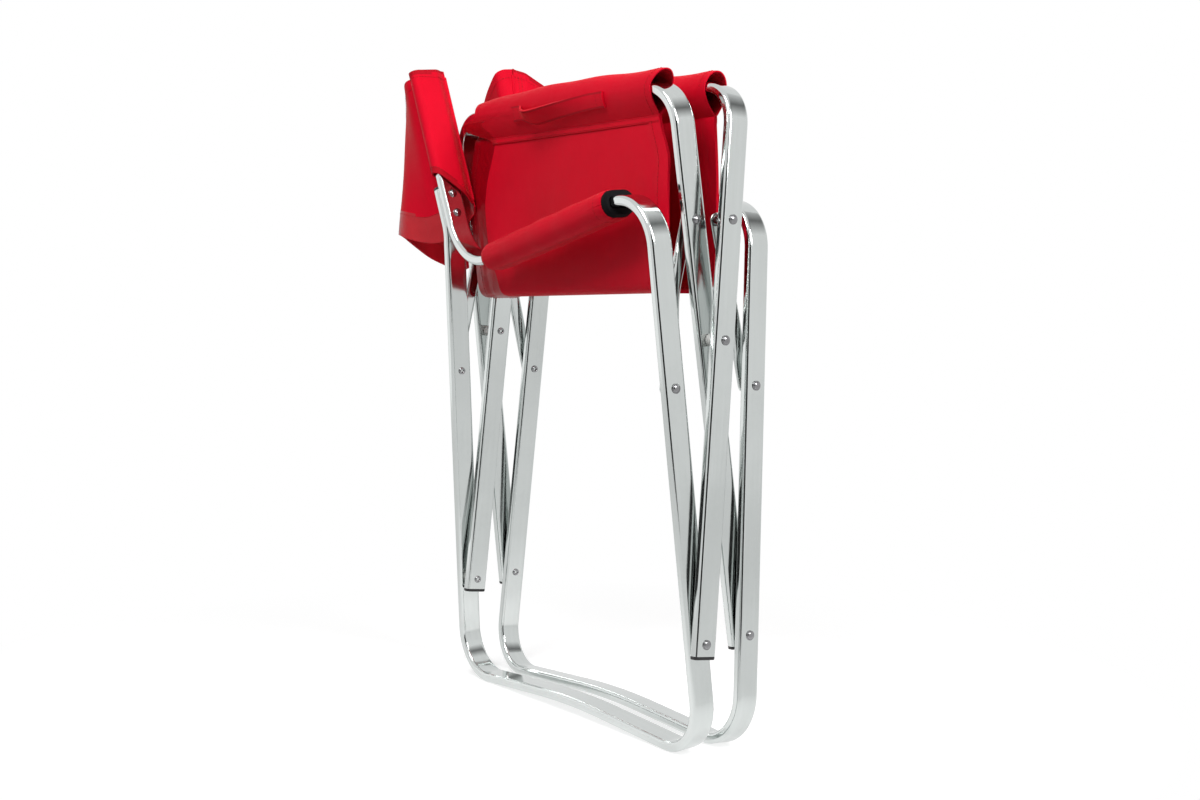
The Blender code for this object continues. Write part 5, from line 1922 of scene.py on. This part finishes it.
    def build_half(self) -> None:
        """Make the half panel, its stitches and the welt that closes its seam at the sleeve."""
        label = self.label
        way, out = self.ways()
        points = self.half_points(way, out)
        walked, width = lengths(points), widths(points)
        strip = (walked < self.strip)[:-1, :-1]
        thick = self.thick * (1 + 0.5 * (1 - ease((walked - self.strip) / self.fade)))
        normals = grid_normals(points)
        normals = normals * (1.0 if np.mean(np.sum(normals * out, -1)) > 0 else -1.0)
        uv = np.stack((width, walked), -1)
        surface = sheet(points, normals, thick, (np.where(strip, 1, 0), 0), uv)
        looks = [self.looks.canvas, self.looks.coated]
        cloth = self.finish(f"{label}_back_cloth", surface, Slot.CLOTH, "back_half", looks)
        low = int(np.argmax(walked[:, 0] > self.strip - 0.004))
        faces = [(row, normals[row] * face) for row in (low, -4) for face in (1.0, -1.0)]
        rows = [stitch_row(points[row], normal, 0.0011) for row, normal in faces]
        stitches = self.sew(f"{label}_back_stitches", rows, "back_half")
        welt = self.build_welt(points[2, 0], points[-3, 0])
        turn, middle = f"{label}_back_cloth_turn", self.hinge(self.middle)
        for piece in (cloth, stitches):
            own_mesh(piece)

    def build_welt(self, start: Array, end: Array) -> Piece:
        """Return the welt: a thin turned rod with rounded ends along the half's first column."""
        long, edge = float(np.linalg.norm(end - start)), 0.0012
        profile = [(0.0, 0.0010), (edge, self.welt), (long - edge, self.welt), (long, 0.0010)]
        surface = lathe(profile, start, unit(end - start), 12)
        welt = make_piece(f"{self.label}_back_welt", surface, [self.looks.canvas])
        return settle(welt, f"{self.label}_back_half")


# Stage


@dataclass
class Studio:
    """Floor, light and camera."""

    camera_place: Place = (-1.1226, -1.79442, 0.5092)
    yaw: float = 0.5993
    pitch: float = -0.065
    roll: float = 0.0037
    focal_pixels: float = 1655.7
    frame_width: float = 1200.0
    sky: float = 0.24
    mirrored: float = 0.88

    def build(self) -> None:
        """Make the stage in order."""
        self.build_floor()
        self.build_world()
        self.build_lamp("key_softbox", (-0.95, -0.55, 1.75), (0.0, 0.0, 0.6), 0.7, 19.0)
        self.build_lamp("front_softbox", (0.25, -2.00, 1.60), (0.0, 0.0, 0.5), 1.0, 40.0)
        self.build_card("front_flag", (-1.55, -2.35, 0.75), (0.0, 0.0, 0.6), (2.3, 1.5), 0.0)
        self.build_card("top_flag", (0.95, -1.0, 1.75), (0.0, -0.3, 0.7), (2.0, 1.1), 0.14, self.mirrored)
        self.build_card("white_card", (-1.5, 2.2, 0.6), (0.0, 0.0, 0.5), (2.0, 2.0), 1.1)
        self.build_camera()
        bpy.context.scene.view_settings.view_transform = "Standard"

    def seen(self, tree: Tree, mirrored: float, other: float) -> Socket:
        """Return 1 for camera and transmission rays, and a strength each for mirrored and other rays."""
        path = tree.add("LightPath")
        direct = tree.math("ADD", path.outputs["Is Camera Ray"], path.outputs["Is Transmission Ray"])
        shares = tree.weigh((direct, 1.0 - other), (path.outputs["Is Glossy Ray"], mirrored - other))
        return tree.math("ADD", shares, other)

    def build_floor(self) -> None:
        """Make the floor: pale and matt near the chair, fading to plain white further out."""
        made = bpy.data.materials.new("pale_floor")
        made.use_nodes = True
        made.node_tree.nodes.clear()
        tree = Tree(made.node_tree)
        seen = self.seen(tree, self.mirrored, 0.0)
        matt, lift, far = tree.add("BsdfDiffuse"), tree.add("Emission"), tree.add("Emission")
        near, faded, mixed = tree.add("AddShader"), tree.add("MixShader"), tree.add("MixShader")
        length = tree.add("VectorMath", operation="LENGTH")
        matt.inputs["Color"].default_value = (0.55, 0.55, 0.55, 1)
        tree.link(tree.math("MULTIPLY", seen, 0.66), lift.inputs["Strength"])
        tree.link(tree.add("TexCoord").outputs["Object"], length.inputs[0])
        links = (
            (seen, far.inputs["Strength"]),
            (matt.outputs[0], near.inputs[0]),
            (lift.outputs[0], near.inputs[1]),
            (seen, faded.inputs[0]),
            (matt.outputs[0], faded.inputs[1]),
            (far.outputs[0], faded.inputs[2]),
            (tree.spread(length.outputs["Value"], 0.25, 0.8, 0.0, 1.0), mixed.inputs[0]),
            (near.outputs[0], mixed.inputs[1]),
            (faded.outputs[0], mixed.inputs[2]),
            (mixed.outputs[0], tree.add("OutputMaterial").inputs[0]),
        )
        for start, end in links:
            tree.link(start, end)
        across = np.linspace(-8.0, 8.0, 9)
        x, y = np.meshgrid(across, across)
        floor = make_piece("floor", grid(np.stack((x, y, 0 * x), -1)), [made])

    def build_world(self) -> None:
        """Make the world: white where it is seen, softer as light."""
        world = bpy.data.worlds.new("white_studio")
        bpy.context.scene.world = world
        world.use_nodes = True
        tree = Tree(world.node_tree)
        back = world.node_tree.nodes["Background"]
        back.inputs["Color"].default_value = (1, 1, 1, 1)
        tree.link(self.seen(tree, self.mirrored, self.sky), back.inputs["Strength"])

    def aim(self, item: Piece, place: Place, target: Place) -> None:
        """Stand a stage object at a place, looking at a target."""
        way = Vector(target) - Vector(place)
        item.matrix_world = Matrix.Translation(place) @ way.to_track_quat("-Z", "Y").to_matrix().to_4x4()

    def build_lamp(self, name: str, place: Place, target: Place, size: float, watts: float) -> None:
        """Make one square soft lamp."""
        data = bpy.data.lights.new(name, "AREA")
        data.size, data.energy = size, watts
        lamp = bpy.data.objects.new(name, data)
        lamp.visible_camera = False
        bpy.context.collection.objects.link(lamp)
        self.aim(lamp, place, target)

    def build_card(
        self, name: str, place: Place, target: Place, size: tuple[float, float], glow: float,
        edge: float | None = None,
    ) -> None:
        """Make a studio card, dark or bright, that only shows in bright metal.

        Args:
            name: the card's name.
            place: where it hangs.
            target: what it faces.
            size: its width and height.
            glow: its light.
            edge: the light at its upper and lower edge, where it fades from the middle.
        """
        made = bpy.data.materials.new(name)
        made.use_nodes = True
        shader = made.node_tree.nodes["Principled BSDF"]
        dark, white = (0.02, 0.02, 0.02, 1), (1, 1, 1, 1)
        settings = {"Base Color": dark, "Roughness": 0.9, "Emission Color": white, "Emission Strength": glow}
        fill(shader, settings)
        if edge is not None:
            tree = Tree(made.node_tree)
            split = tree.add("SeparateXYZ")
            tree.link(tree.add("TexCoord").outputs["Object"], split.inputs[0])
            away = tree.math("ABSOLUTE", split.outputs["Y"])
            tree.link(tree.spread(away, 0.0, size[1] / 2, glow, edge), shader.inputs["Emission Strength"])
        x, y = np.meshgrid(np.linspace(-0.5, 0.5, 2) * size[0], np.linspace(-0.5, 0.5, 2) * size[1])
        card = make_piece(name, grid(np.stack((x, y, 0 * x), -1)), [made])
        self.aim(card, place, target)
        card.visible_camera = card.visible_diffuse = card.visible_shadow = False

    def build_camera(self) -> None:
        """Make the camera from its place, turn and focal length in pixels."""
        ahead = np.array((sin(self.yaw) * cos(self.pitch), cos(self.yaw) * cos(self.pitch), sin(self.pitch)))
        right = unit(np.cross(ahead, (0.0, 0.0, 1.0)))
        up = np.cross(right, ahead)
        turned = cos(self.roll) * right + sin(self.roll) * up
        up = -sin(self.roll) * right + cos(self.roll) * up
        data = bpy.data.cameras.new("camera")
        data.sensor_width = 36.0
        data.lens = self.focal_pixels / self.frame_width * data.sensor_width
        camera = bpy.data.objects.new("camera", data)
        turn = np.eye(4)
        turn[:3, :3] = np.stack((turned, up, -ahead), -1)
        turn[:3, 3] = self.camera_place
        camera.matrix_world = Matrix(turn.tolist())
        bpy.context.collection.objects.link(camera)
        bpy.context.scene.camera = camera


def main() -> None:
    """Dress the chair and build the stage."""
    logging.basicConfig(level=logging.INFO, format="%(name)s: %(message)s")
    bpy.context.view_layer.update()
    chair, looks = ChairFrame(), Finishes.make()
    for side in Side:
        SideFrame(side, chair, looks).build()
        SeatFrame(side, chair, looks).build()
        for end in End:
            Link(side, chair, looks, end).build()
        ArmPad(side, chair, looks).build()
        SeatHalf(side, chair, looks).build()
        BackCloth(side, chair, looks).build()
    Studio().build()


if __name__ == "__main__":
    main()
